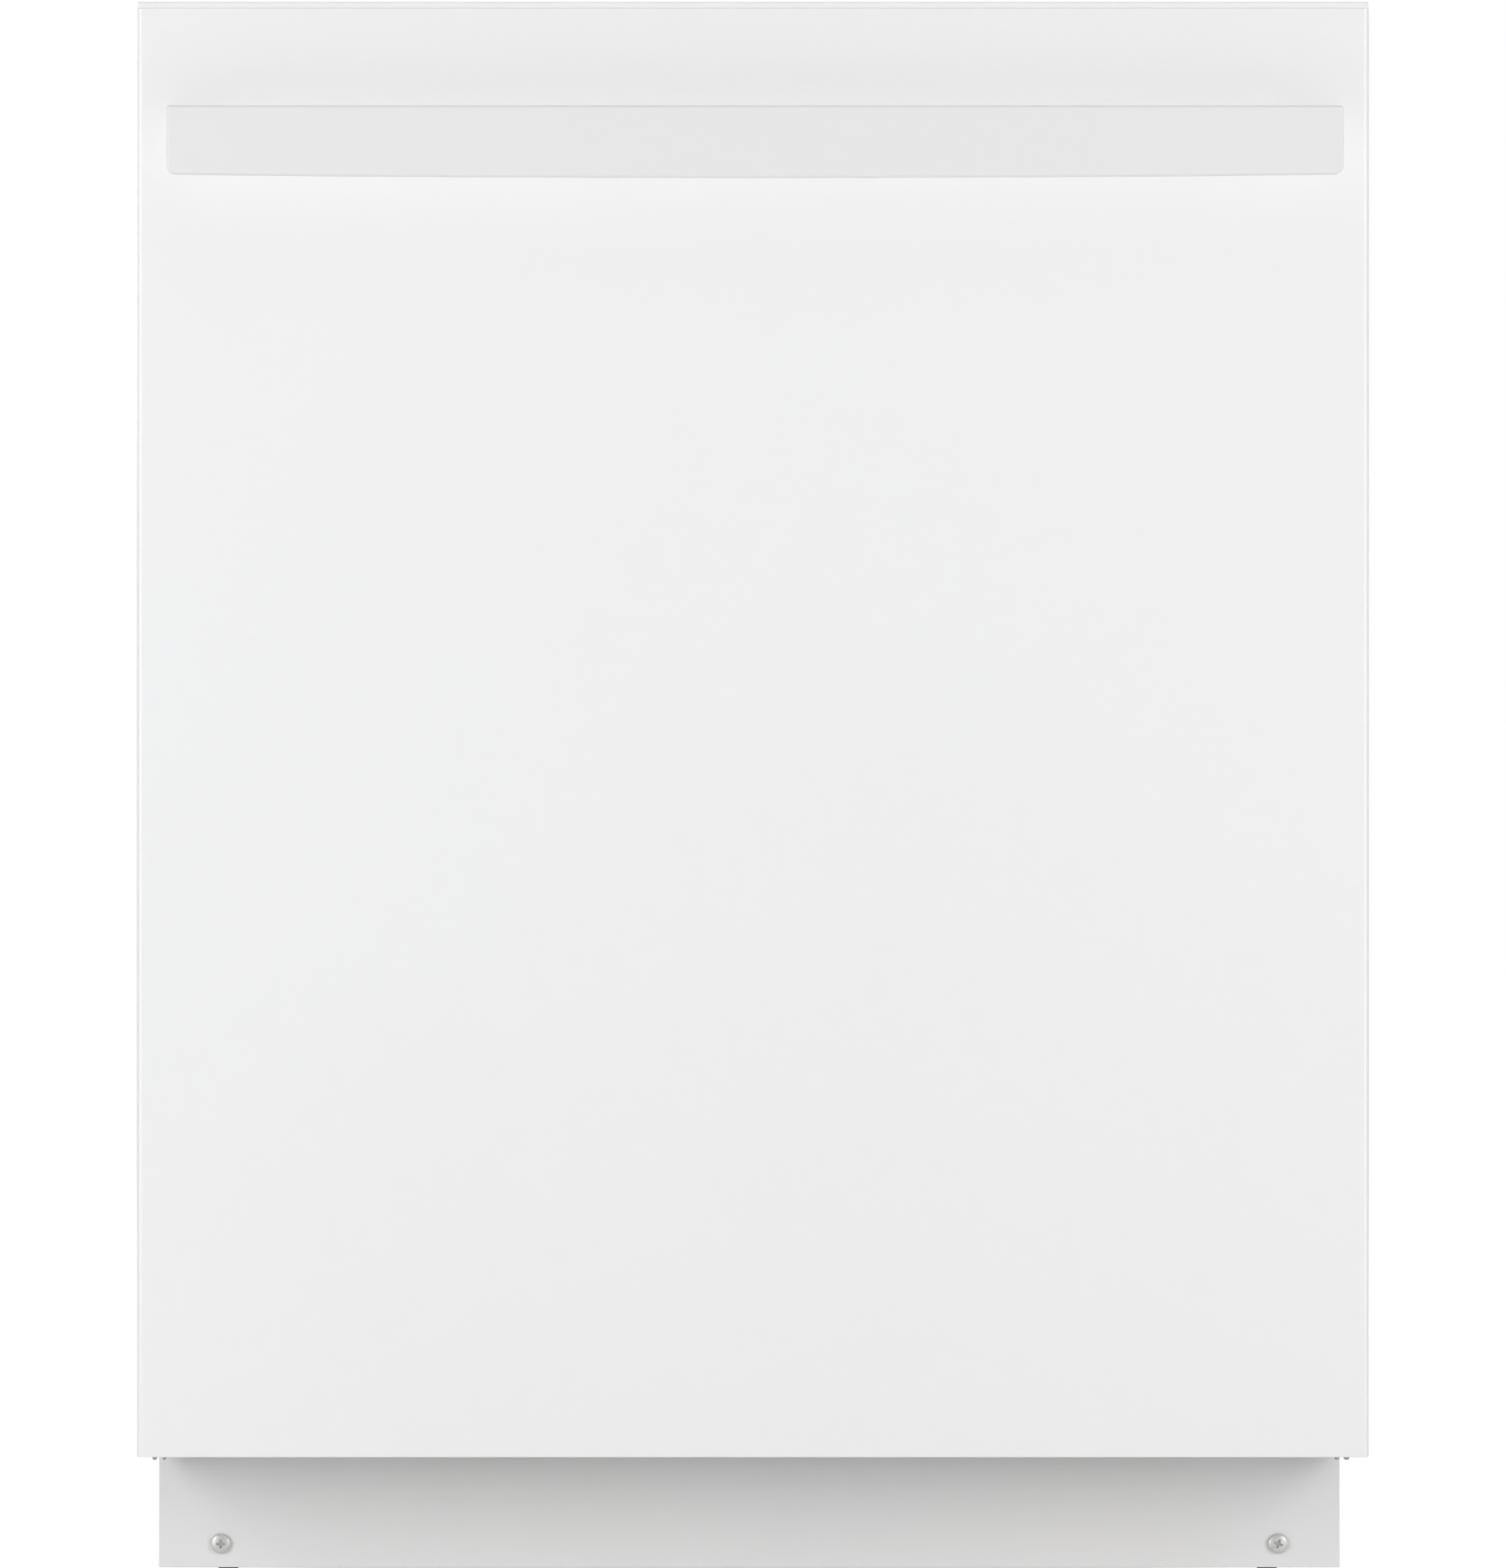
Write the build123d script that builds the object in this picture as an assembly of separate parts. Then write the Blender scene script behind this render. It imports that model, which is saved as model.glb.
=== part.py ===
from build123d import *
import os

os.makedirs("parts", exist_ok=True)

# Built-in dishwasher, millimetres. +Z is up, the door faces -Y, x = 0 is the middle.

# Overall size
WIDTH = 603.0
HEIGHT = 819.0
BODY_DEPTH = 610.0
HANDLE_OUT = 42.0
FRONT = HANDLE_OUT - (BODY_DEPTH + HANDLE_OUT) / 2
BACK = FRONT + BODY_DEPTH

# Door
DOOR_BOTTOM = 107.0
SKIN_TOP = 816.0
SKIN_T = 1.0
LINER_Y = FRONT + 50.0
PAN_Y = LINER_Y + 23.0
PAN_HALF = 262.0
PAN_BOTTOM = 158.0
PAN_TOP = 788.0
AXIS_Y = FRONT + 52.0
AXIS_Z = DOOR_BOTTOM + 20.0

# Tub
TUB_HALF = 275.0
TUB_WALL = 1.5
TUB_FRONT = LINER_Y + 12.0
TUB_BACK = 290.0
TUB_FLOOR = 150.0
TUB_TOP = 800.0
SHELL_HALF = 287.0
ARM_Y = 35.0
SUMP_R = 100.0

# Toe kick and base
TOE_Y = FRONT + 75.0
TOE_BOTTOM = 45.0
TOE_TOP = 111.0
BASE_TOP = 134.0
FOOT_X = 262.0
FOOT_YS = (-172.0, 295.0)

# Door counterbalance
PULLEY_R = 24.0
CABLE_D = 2.4
CABLE_X = 293.0
CABLE_Z = AXIS_Z + PULLEY_R
HOOK_Y = -60.0
ANCHOR_Y = 112.0

# Racks
RACK_HALF = 246.0
WIRE = 4.0
RIM_WIRE = 6.0
UPPER_Z = 488.0
UPPER_RIM_Z = 600.0
UPPER_FRONT = -200.0
UPPER_BACK = 250.0
LOWER_Z = 192.0
LOWER_RIM_Z = 290.0
LOWER_FRONT = -172.0
LOWER_BACK = 262.0
TRACK_Z = 545.0
WHEEL_R = 11.0
LOWER_WHEEL_R = 16.0


def block(x0, x1, y0, y1, z0, z1):
    """A box between two corners."""
    return Pos((x0 + x1) / 2, (y0 + y1) / 2, (z0 + z1) / 2) * Box(x1 - x0, y1 - y0, z1 - z0)


def rod(start, end, diameter):
    """A round bar from one point to another."""
    line = Vector(*end) - Vector(*start)
    place = Plane(origin=start, z_dir=line)
    return Solid.make_cylinder(diameter / 2, line.length, place)


def tube(start, end, outer, inner):
    """A round tube from one point to another."""
    return rod(start, end, outer) - rod(start, end, inner)


def pipe(points, bend, outer, inner):
    """A bent round pipe along a polyline with rounded corners."""
    path = FilletPolyline(*points, radius=bend)
    section = Plane(origin=path @ 0, z_dir=path % 0) * (Circle(outer / 2) - Circle(inner / 2))
    return sweep(section, path=path)


def mirrored(shape):
    """The same shape on the other side of the middle plane."""
    return mirror(shape, about=Plane.YZ)


def save(name, *solids):
    """One STEP file for a node, holding each of its solids."""
    shape = solids[0] if len(solids) == 1 else Compound(children=list(solids))
    export_step(shape, f"parts/{name}.step")


def panels(shape, *boxes):
    """The shape cut along flat planes into simple panels."""
    return [shape & block(*box) for box in boxes]


def pill(x, y, z0, z1, length, width):
    """An upright bar with round ends in plan."""
    outline = Pos(x, y, z0) * SlotOverall(length, width)
    return extrude(outline, z1 - z0)


# ---------------------------------------------------------------- door shell
notch = block(285, 300.4, FRONT - 1, LINER_Y + 30, DOOR_BOTTOM - 1, 170)
notches = notch + mirrored(notch)

skin = block(-WIDTH / 2, WIDTH / 2, FRONT, LINER_Y - 2, DOOR_BOTTOM, SKIN_TOP)
skin = fillet(skin.edges().filter_by(Axis.Z).group_by(Axis.Y)[0], 2.5)
inside = block(
    -WIDTH / 2 + SKIN_T, WIDTH / 2 - SKIN_T, FRONT + SKIN_T, LINER_Y, DOOR_BOTTOM + SKIN_T, SKIN_TOP + 1
)
skin = skin - inside
bottom_notch = block(285, 300.4, FRONT + 14, LINER_Y, DOOR_BOTTOM - 1, DOOR_BOTTOM + 5)
skin = skin - bottom_notch - mirrored(bottom_notch)
HANDLE_X = 277.0
HANDLE_Z = 748.0
for side in (-1, 1):
    hole = (side * HANDLE_X, FRONT - 2, HANDLE_Z)
    skin = skin - rod(hole, (hole[0], FRONT + 4, HANDLE_Z), 5.5)
EDGE_X = WIDTH / 2
skin_front = block(-EDGE_X + 2.5, EDGE_X - 2.5, FRONT, FRONT + SKIN_T, DOOR_BOTTOM, SKIN_TOP)
skin_side = (EDGE_X - SKIN_T, EDGE_X, FRONT + 2.5, LINER_Y, DOOR_BOTTOM, SKIN_TOP)
skin_corner = (EDGE_X - 2.5, EDGE_X, FRONT, FRONT + 2.5, DOOR_BOTTOM, SKIN_TOP)
skin_strip = (285, EDGE_X - SKIN_T, FRONT + 2.5, FRONT + 14, DOOR_BOTTOM, DOOR_BOTTOM + SKIN_T)
skin_floor = (-285, 285, FRONT + SKIN_T, LINER_Y, DOOR_BOTTOM, DOOR_BOTTOM + SKIN_T)
skin_link = (285, EDGE_X - 2.5, FRONT + SKIN_T, FRONT + 2.5, DOOR_BOTTOM, DOOR_BOTTOM + SKIN_T)
right_panels = panels(skin, skin_side, skin_corner, skin_strip, skin_link)
left_panels = [mirrored(panel) for panel in right_panels]
save("door_skin", skin & skin_front, *panels(skin, skin_floor), *right_panels, *left_panels)

rim = block(-299, 299, LINER_Y - 1, LINER_Y, DOOR_BOTTOM + 3, PAN_TOP)
pan = block(-PAN_HALF, PAN_HALF, LINER_Y - 1, PAN_Y, PAN_BOTTOM, PAN_TOP - 6)
pan = fillet(pan.edges().filter_by(Axis.Y), 18)
pan_cavity = block(-PAN_HALF + 1, PAN_HALF - 1, LINER_Y - 2, PAN_Y - 1, PAN_BOTTOM + 1, PAN_TOP - 7)
pan_cavity = fillet(pan_cavity.edges().filter_by(Axis.Y), 17)
DISP_X = 0.0
DISP_Z = 396.0
DISP_HALF_X = 86.0
DISP_HALF_Z = 52.0
disp_hole = block(
    DISP_X - DISP_HALF_X + 5,
    DISP_X + DISP_HALF_X - 5,
    LINER_Y - 2,
    PAN_Y + 2,
    DISP_Z - DISP_HALF_Z + 5,
    DISP_Z + DISP_HALF_Z - 5,
)
VENT_X = 195.0
VENT_Z = 640.0
vent_hole = rod((VENT_X, LINER_Y - 3, VENT_Z), (VENT_X, PAN_Y + 2, VENT_Z), 76)
liner = (rim + pan) - pan_cavity - disp_hole - vent_hole - notches
PAN_R = 18.0
VENT_BOX = 45.0
mid_low = PAN_BOTTOM + PAN_R
mid_high = PAN_TOP - 6 - PAN_R
face = PAN_Y - 1
disp_x = DISP_HALF_X - 5
disp_low = DISP_Z - DISP_HALF_Z + 5
disp_high = DISP_Z + DISP_HALF_Z - 5
vent_low = VENT_Z - VENT_BOX
vent_high = VENT_Z + VENT_BOX
rim_panels = panels(
    liner,
    (PAN_HALF, 299, LINER_Y - 1, LINER_Y, 170, PAN_TOP),
    (PAN_HALF, 285, LINER_Y - 1, LINER_Y, DOOR_BOTTOM + 3, 170),
    (PAN_HALF - 1, PAN_HALF, LINER_Y - 1, face, mid_low, mid_high),
    (PAN_HALF - PAN_R, PAN_HALF, LINER_Y - 1, face, mid_high, PAN_TOP - 6),
    (PAN_HALF - PAN_R, PAN_HALF, LINER_Y - 1, face, PAN_BOTTOM, mid_low),
)
face_panels = panels(
    liner,
    (-PAN_HALF, PAN_HALF, LINER_Y - 1, LINER_Y, PAN_TOP - 6, PAN_TOP),
    (-PAN_HALF, PAN_HALF, LINER_Y - 1, LINER_Y, DOOR_BOTTOM + 3, PAN_BOTTOM),
    (-PAN_HALF + PAN_R, PAN_HALF - PAN_R, LINER_Y - 1, face, PAN_TOP - 7, PAN_TOP - 6),
    (-PAN_HALF + PAN_R, PAN_HALF - PAN_R, LINER_Y - 1, face, PAN_BOTTOM, PAN_BOTTOM + 1),
    (-PAN_HALF, PAN_HALF, face, PAN_Y, PAN_BOTTOM, disp_low),
    (-PAN_HALF, -disp_x, face, PAN_Y, disp_low, disp_high),
    (disp_x, PAN_HALF, face, PAN_Y, disp_low, disp_high),
    (-PAN_HALF, PAN_HALF, face, PAN_Y, disp_high, vent_low),
    (-PAN_HALF, VENT_X - VENT_BOX, face, PAN_Y, vent_low, vent_high),
    (VENT_X + VENT_BOX, PAN_HALF, face, PAN_Y, vent_low, vent_high),
    (VENT_X - VENT_BOX, VENT_X, face, PAN_Y, vent_low, vent_high),
    (VENT_X, VENT_X + VENT_BOX, face, PAN_Y, vent_low, vent_high),
    (-PAN_HALF, PAN_HALF, face, PAN_Y, vent_high, PAN_TOP - 6),
)
save("door_liner", *face_panels, *rim_panels, *[mirrored(panel) for panel in rim_panels])

insulation = block(-278, 278, FRONT + 3, FRONT + 20, 130, 770)
save("door_insulation", insulation)

seal_bottom = block(-PAN_HALF + 20, PAN_HALF - 20, PAN_Y - 12, PAN_Y - 3, TUB_FLOOR + 2.5, PAN_BOTTOM)
seal_bottom = fillet(seal_bottom.edges().filter_by(Axis.X).group_by(Axis.Z)[0], 3)
save("door_bottom_seal", seal_bottom)

# vent grille and its duct between the liner and the outside of the pan
grille = rod((VENT_X, PAN_Y, VENT_Z), (VENT_X, PAN_Y + 3, VENT_Z), 88)
duct = tube((VENT_X, LINER_Y - 6, VENT_Z), (VENT_X, PAN_Y, VENT_Z), 75, 70)
for row in range(-3, 4):
    slot = block(VENT_X - 30, VENT_X + 30, PAN_Y - 1, PAN_Y + 4, VENT_Z + row * 9 - 2, VENT_Z + row * 9 + 2)
    grille = grille - slot
save("door_vent", grille + duct)

# ---------------------------------------------------------------- console, buttons, board
console = block(-300, 300, FRONT + 1.2, LINER_Y - 2, PAN_TOP, SKIN_TOP)
cap = block(-301, 301, FRONT + 0.3, LINER_Y - 2, SKIN_TOP, HEIGHT)
cap = fillet(cap.edges().filter_by(Axis.X).group_by(Axis.Z)[-1], 0.8)
cavity = block(-288, 288, FRONT + 5, LINER_Y - 5, PAN_TOP - 1, SKIN_TOP - 1)
console = console + cap - cavity
BUTTON_Y = FRONT + 24.0
BUTTON_L = 22.0
BUTTON_W = 9.0
BUTTON_TRAVEL = 1.2
BUTTON_XS = [-225 + 56 * i for i in range(4)] + [225]
for x in BUTTON_XS:
    console = console - pill(x, BUTTON_Y, SKIN_TOP - 4, HEIGHT + 1, BUTTON_L + 0.7, BUTTON_W + 0.7)
window = block(95, 175, BUTTON_Y - 7, BUTTON_Y + 7, SKIN_TOP + 1, HEIGHT + 1)
strike_slot = block(-15, 15, LINER_Y - 9, LINER_Y, 805, 814)
console = console - window - strike_slot
save("console", console)
save("display_window", block(95.2, 174.8, BUTTON_Y - 6.8, BUTTON_Y + 6.8, SKIN_TOP + 1, HEIGHT - 0.2))

for number, x in enumerate(BUTTON_XS):
    stem = pill(x, BUTTON_Y, SKIN_TOP - 8, HEIGHT - 0.1, BUTTON_L, BUTTON_W)
    collar = pill(x, BUTTON_Y, SKIN_TOP - 8, SKIN_TOP - 6, BUTTON_L + 4, BUTTON_W + 4)
    save(f"button_{number + 1}", stem + collar)

board = block(-240, 240, FRONT + 8, FRONT + 40, 798, 800) - block(-27, 27, FRONT + 16, FRONT + 41, 797, 801)
chips = block(60, 160, FRONT + 14, FRONT + 34, 790, 798)
save("control_board", board + chips)

# ---------------------------------------------------------------- handle
HANDLE_HALF = 284.5
HANDLE_TOP = 764.4
HANDLE_END_BOTTOM = 731.4
HANDLE_SAG = 1.6
BAR_BACK = FRONT - 33.0
outline = (
    Polyline(
        (-HANDLE_HALF, HANDLE_END_BOTTOM),
        (-HANDLE_HALF, HANDLE_TOP),
        (HANDLE_HALF, HANDLE_TOP),
        (HANDLE_HALF, HANDLE_END_BOTTOM),
    )
    + ThreePointArc(
        (HANDLE_HALF, HANDLE_END_BOTTOM),
        (0, HANDLE_END_BOTTOM - HANDLE_SAG),
        (-HANDLE_HALF, HANDLE_END_BOTTOM),
    )
)
bar_face = make_face(Plane(origin=(0, BAR_BACK, 0), x_dir=(1, 0, 0), z_dir=(0, -1, 0)) * outline)
bar = extrude(bar_face, HANDLE_OUT - 33.0, dir=(0, -1, 0))
bar = fillet(bar.edges().filter_by(Axis.Y).group_by(Axis.Z)[0], 4)
bar = fillet(bar.edges().filter_by(Axis.Y).group_by(Axis.Z)[-1], 1.5)
post = block(HANDLE_HALF - 15, HANDLE_HALF, BAR_BACK, FRONT, HANDLE_END_BOTTOM + 0.2, HANDLE_TOP)
post = fillet(post.edges().filter_by(Axis.Y).group_by(Axis.Z)[0], 4)
post = fillet(post.edges().filter_by(Axis.Y).group_by(Axis.Z)[-1], 1.5)
post = post - rod((HANDLE_X, FRONT + 1, HANDLE_Z), (HANDLE_X, FRONT - 14, HANDLE_Z), 4.2)
handle = bar + post + mirrored(post)
handle_screws = []
for side in (-1, 1):
    x = side * HANDLE_X
    shank = rod((x, FRONT - 12, HANDLE_Z), (x, FRONT + 1, HANDLE_Z), 4.1)
    head = rod((x, FRONT + 1, HANDLE_Z), (x, FRONT + 2.9, HANDLE_Z), 9)
    handle_screws.append(shank + head)
save("handle", handle, *handle_screws)

# ---------------------------------------------------------------- detergent dispenser
face_plate = block(
    DISP_X - DISP_HALF_X, DISP_X + DISP_HALF_X, PAN_Y, PAN_Y + 3, DISP_Z - DISP_HALF_Z, DISP_Z + DISP_HALF_Z
)
face_plate = fillet(face_plate.edges().filter_by(Axis.Y), 10)
housing = block(
    DISP_X - DISP_HALF_X + 6,
    DISP_X + DISP_HALF_X - 6,
    LINER_Y - 16,
    PAN_Y,
    DISP_Z - DISP_HALF_Z + 6,
    DISP_Z + DISP_HALF_Z - 6,
)
CUP_X = DISP_X - 36.0
CUP = 62.0
cup_hollow = block(
    CUP_X - CUP / 2 + 4, CUP_X + CUP / 2 - 4, PAN_Y - 26, PAN_Y + 4, DISP_Z - CUP / 2 + 4, DISP_Z + CUP / 2 - 4
)
cup_hollow = fillet(cup_hollow.edges().filter_by(Axis.Y), 8)
CAP_X = DISP_X + 42.0
cap_bore = rod((CAP_X, PAN_Y - 12, DISP_Z), (CAP_X, PAN_Y + 4, DISP_Z), 24.1)
LID_Z = DISP_Z - CUP / 2 - 3
PIN_Y = PAN_Y + 5.6
lugs = []
for side in (-1, 1):
    x = CUP_X + side * (CUP / 2 + 3)
    lug = block(x - 2, x + 2, PAN_Y + 2, PIN_Y + 3, LID_Z - 4, LID_Z + 3)
    lugs.append(lug - rod((x - 3, PIN_Y, LID_Z), (x + 3, PIN_Y, LID_Z), 3.1))
dispenser = face_plate + housing - cup_hollow - cap_bore + lugs[0] + lugs[1]
save("dispenser_body", dispenser)
lid = block(CUP_X - CUP / 2, CUP_X + CUP / 2, PAN_Y + 3.4, PAN_Y + 6.8, LID_Z + 3.2, DISP_Z + CUP / 2)
lid = fillet(lid.edges().filter_by(Axis.Y).group_by(Axis.Z)[-1], 8)
knuckle = rod((CUP_X - CUP / 2, PIN_Y, LID_Z), (CUP_X + CUP / 2, PIN_Y, LID_Z), 4.4)
lid_arm = block(CUP_X - CUP / 2, CUP_X + CUP / 2, PIN_Y - 1.2, PIN_Y + 1.2, LID_Z, LID_Z + 4)
lid_pin = rod((CUP_X - CUP / 2 - 5, PIN_Y, LID_Z), (CUP_X + CUP / 2 + 5, PIN_Y, LID_Z), 3)
save("dispenser_lid", lid + knuckle + lid_arm + lid_pin)
rinse_cap = rod((CAP_X, PAN_Y + 3.2, DISP_Z), (CAP_X, PAN_Y + 8, DISP_Z), 34)
rinse_grip = block(CAP_X - 13, CAP_X + 13, PAN_Y + 8, PAN_Y + 12, DISP_Z - 3, DISP_Z + 3)
rinse_stem = rod((CAP_X, PAN_Y - 9, DISP_Z), (CAP_X, PAN_Y + 3.2, DISP_Z), 24)
save("rinse_aid_cap", rinse_cap + rinse_grip + rinse_stem)

# ---------------------------------------------------------------- latch and strike
LATCH_PIN_Y = LINER_Y - 9.0
LATCH_PIN_Z = 803.0
latch_box = block(-24, 24, LINER_Y - 30, LINER_Y - 5.2, 790, 812)
latch_slot = block(-12, 12, LINER_Y - 27, LINER_Y, 793.5, 813)
latch_bore = rod((-20, LATCH_PIN_Y - 2, LATCH_PIN_Z), (20, LATCH_PIN_Y - 2, LATCH_PIN_Z), 3.1)
latch_front = block(-24, 24, LINER_Y - 30, LINER_Y - 5.2, 790, 812) - latch_slot
save("latch_housing", latch_front - latch_bore)
pawl = block(-3, 3, LINER_Y - 25, LATCH_PIN_Y + 1, LATCH_PIN_Z - 2, LATCH_PIN_Z + 1.4)
pawl_nose = block(-3, 3, LINER_Y - 25, LINER_Y - 22, LATCH_PIN_Z, LATCH_PIN_Z + 3.4)
pawl_pin = rod((-18, LATCH_PIN_Y - 2, LATCH_PIN_Z), (18, LATCH_PIN_Y - 2, LATCH_PIN_Z), 3)
save("latch_pawl", pawl + pawl_nose + pawl_pin)
STRIKE_Z = 808.0
strike_plate = block(-20, 20, TUB_FRONT - 10, TUB_FRONT - 8, STRIKE_Z - 1.5, SKIN_TOP + 0.5)
strike_side = block(6, 9, LINER_Y - 19, TUB_FRONT - 10, STRIKE_Z, STRIKE_Z + 4)
strike_bar = block(-6, 6, LINER_Y - 19, LINER_Y - 16.5, STRIKE_Z, STRIKE_Z + 4)
strike_root = block(-6, 6, LINER_Y - 2, TUB_FRONT - 10, STRIKE_Z, STRIKE_Z + 4)
strike = [strike_plate, strike_side, mirrored(strike_side), strike_bar, strike_root]

# ---------------------------------------------------------------- tub
tub = block(
    -TUB_HALF - TUB_WALL, TUB_HALF + TUB_WALL, TUB_FRONT, TUB_BACK + TUB_WALL, TUB_FLOOR - TUB_WALL, TUB_TOP + TUB_WALL
)
tub = fillet(tub.edges().filter_by(Axis.Y).group_by(Axis.Z)[-1], 20)
tub = fillet(tub.edges().filter_by(Axis.Y).group_by(Axis.Z)[0], 10)
tub_cavity = block(-TUB_HALF, TUB_HALF, TUB_FRONT - 1, TUB_BACK, TUB_FLOOR, TUB_TOP)
tub_cavity = fillet(tub_cavity.edges().filter_by(Axis.Y).group_by(Axis.Z)[-1], 18.5)
tub_cavity = fillet(tub_cavity.edges().filter_by(Axis.Y).group_by(Axis.Z)[0], 8.5)
tub = tub - tub_cavity
tub = tub - rod((0, ARM_Y, TUB_FLOOR - 3), (0, ARM_Y, TUB_FLOOR + 3), 2 * SUMP_R + 10)
HEATER_R = 178.0
HEATER_LEG_XS = (-24.0, 24.0)
HEATER_LEG_Y = ARM_Y + HEATER_R
FLOAT_X = 215.0
FLOAT_Y = -150.0
for x in HEATER_LEG_XS:
    tub = tub - rod((x, HEATER_LEG_Y, TUB_FLOOR - 3), (x, HEATER_LEG_Y, TUB_FLOOR + 3), 9)
tub = tub - rod((FLOAT_X, FLOAT_Y, TUB_FLOOR - 3), (FLOAT_X, FLOAT_Y, TUB_FLOOR + 3), 12)
RISER_HALF = 15.0
tub = tub - block(-12, 12, TUB_BACK - 13, TUB_BACK - 3, TUB_FLOOR - 3, TUB_FLOOR + 3)
TOP_R = 18.5
LOW_R = 8.5
low_z = TUB_FLOOR - TUB_WALL
high_z = TUB_TOP + TUB_WALL
wall_x = TUB_HALF + TUB_WALL
hole = SUMP_R + 5
tub_sides = panels(
    tub,
    (TUB_HALF, wall_x, TUB_FRONT, TUB_BACK, TUB_FLOOR + LOW_R, TUB_TOP - TOP_R),
    (TUB_HALF - TOP_R, wall_x, TUB_FRONT, TUB_BACK, TUB_TOP - TOP_R, high_z),
    (TUB_HALF - LOW_R, wall_x, TUB_FRONT, TUB_BACK, low_z, TUB_FLOOR + LOW_R),
    (0, hole, ARM_Y - hole, ARM_Y, low_z, TUB_FLOOR),
    (0, hole, ARM_Y, ARM_Y + hole, low_z, TUB_FLOOR),
)
tub_middle = panels(
    tub,
    (-wall_x, wall_x, TUB_BACK, TUB_BACK + TUB_WALL, low_z, high_z),
    (-TUB_HALF + TOP_R, TUB_HALF - TOP_R, TUB_FRONT, TUB_BACK, TUB_TOP, high_z),
    (-hole, hole, TUB_FRONT, ARM_Y - hole, low_z, TUB_FLOOR),
    (-hole, hole, ARM_Y + hole, TUB_BACK, low_z, TUB_FLOOR),
    (-TUB_HALF + LOW_R, -hole, TUB_FRONT, TUB_BACK, low_z, TUB_FLOOR),
    (hole, TUB_HALF - LOW_R, TUB_FRONT, FLOAT_Y + 20, low_z, TUB_FLOOR),
    (hole, TUB_HALF - LOW_R, FLOAT_Y + 20, TUB_BACK, low_z, TUB_FLOOR),
)
tub_panels = tub_sides + tub_middle + [mirrored(panel) for panel in tub_sides]

frame = block(-SHELL_HALF, SHELL_HALF, TUB_FRONT - 8, TUB_FRONT, BASE_TOP, SKIN_TOP + 1)
opening = block(-TUB_HALF, TUB_HALF, TUB_FRONT - 9, TUB_FRONT + 1, TUB_FLOOR, TUB_TOP)
opening = fillet(opening.edges().filter_by(Axis.Y).group_by(Axis.Z)[-1], 18.5)
opening = fillet(opening.edges().filter_by(Axis.Y).group_by(Axis.Z)[0], 8.5)
tub_frame = frame - opening
frame_y0 = TUB_FRONT - 8
frame_sides = panels(
    tub_frame,
    (TUB_HALF, SHELL_HALF, frame_y0, TUB_FRONT, BASE_TOP, SKIN_TOP + 1),
    (TUB_HALF - TOP_R, TUB_HALF, frame_y0, TUB_FRONT, TUB_TOP - TOP_R, TUB_TOP),
    (TUB_HALF - LOW_R, TUB_HALF, frame_y0, TUB_FRONT, TUB_FLOOR, TUB_FLOOR + LOW_R),
)
frame_bars = panels(
    tub_frame,
    (-TUB_HALF, TUB_HALF, frame_y0, TUB_FRONT, TUB_TOP, SKIN_TOP + 1),
    (-TUB_HALF, TUB_HALF, frame_y0, TUB_FRONT, BASE_TOP, TUB_FLOOR),
)
frame_panels = frame_bars + frame_sides + [mirrored(panel) for panel in frame_sides]

seal_outer = block(-281, 281, TUB_FRONT - 11.6, TUB_FRONT - 8, 152, 806)
seal_inner = block(-276, 276, TUB_FRONT - 12, TUB_FRONT - 7, 151, 800.8)
seal = fillet(seal_outer.edges().filter_by(Axis.Y).group_by(Axis.Z)[-1], 24)
seal_inner = fillet(seal_inner.edges().filter_by(Axis.Y).group_by(Axis.Z)[-1], 19)
seal = seal - seal_inner
SEAL_R = 24.0
seal_top = panels(seal, (-281 + SEAL_R, 281 - SEAL_R, TUB_FRONT - 12, TUB_FRONT - 8, 780, 806))
seal_sides = panels(
    seal,
    (270, 281, TUB_FRONT - 12, TUB_FRONT - 8, 152, 806 - SEAL_R),
    (281 - SEAL_R, 281, TUB_FRONT - 12, TUB_FRONT - 8, 806 - SEAL_R, 806),
)
save("door_seal", *seal_top, *seal_sides, *[mirrored(panel) for panel in seal_sides])

BLANKET_IN = TUB_HALF + 2
blanket_side = block(BLANKET_IN, SHELL_HALF, TUB_FRONT + 6, 286, 160, 813)
blanket_top = block(-BLANKET_IN, BLANKET_IN, TUB_FRONT + 6, 286, TUB_TOP + 2, 813)
blanket_rear = block(-272, 272, TUB_BACK + 2, TUB_BACK + 12, 165, 790)
save("sound_blanket", blanket_top, blanket_side, mirrored(blanket_side), blanket_rear)

bracket = block(196, 240, TUB_FRONT - 4, TUB_FRONT + 26, SKIN_TOP + 1, HEIGHT)
bracket = bracket - rod((218, TUB_FRONT + 12, HEIGHT - 4), (218, TUB_FRONT + 12, HEIGHT + 1), 6)
bracket_leg = block(196, 240, TUB_FRONT, TUB_FRONT + 2, 813.5, SKIN_TOP + 1)
top_bracket = bracket + bracket_leg
save("tub_frame", *frame_panels, *strike, top_bracket, mirrored(top_bracket))

# ---------------------------------------------------------------- base, feet and toe kick
BASE_WALL = 6.0
SCREW_X = 264.0
SCREW_Z = TOE_BOTTOM + 12.0
DRAIN_X = 200.0
DRAIN_Z = 84.0
BASE_Z = TOE_BOTTOM + 3
side_in = SHELL_HALF - BASE_WALL
front_beam = block(-side_in, side_in, TOE_Y + 1.4, TOE_Y + 1.4 + BASE_WALL, BASE_Z, BASE_TOP)
for side in (-1, 1):
    start = (side * SCREW_X, TOE_Y - 1, SCREW_Z)
    front_beam = front_beam - rod(start, (side * SCREW_X, TOE_Y + 14, SCREW_Z), 4.1)
rear_beam = block(-side_in, side_in, BACK - BASE_WALL, BACK, BASE_Z, BASE_TOP)
rear_beam = rear_beam - rod((DRAIN_X, BACK - 10, DRAIN_Z), (DRAIN_X, BACK + 4, DRAIN_Z), 22.6)
side_beam = block(side_in, SHELL_HALF, TOE_Y + 1.4, BACK, BASE_Z, BASE_TOP)
bosses = []
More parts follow.
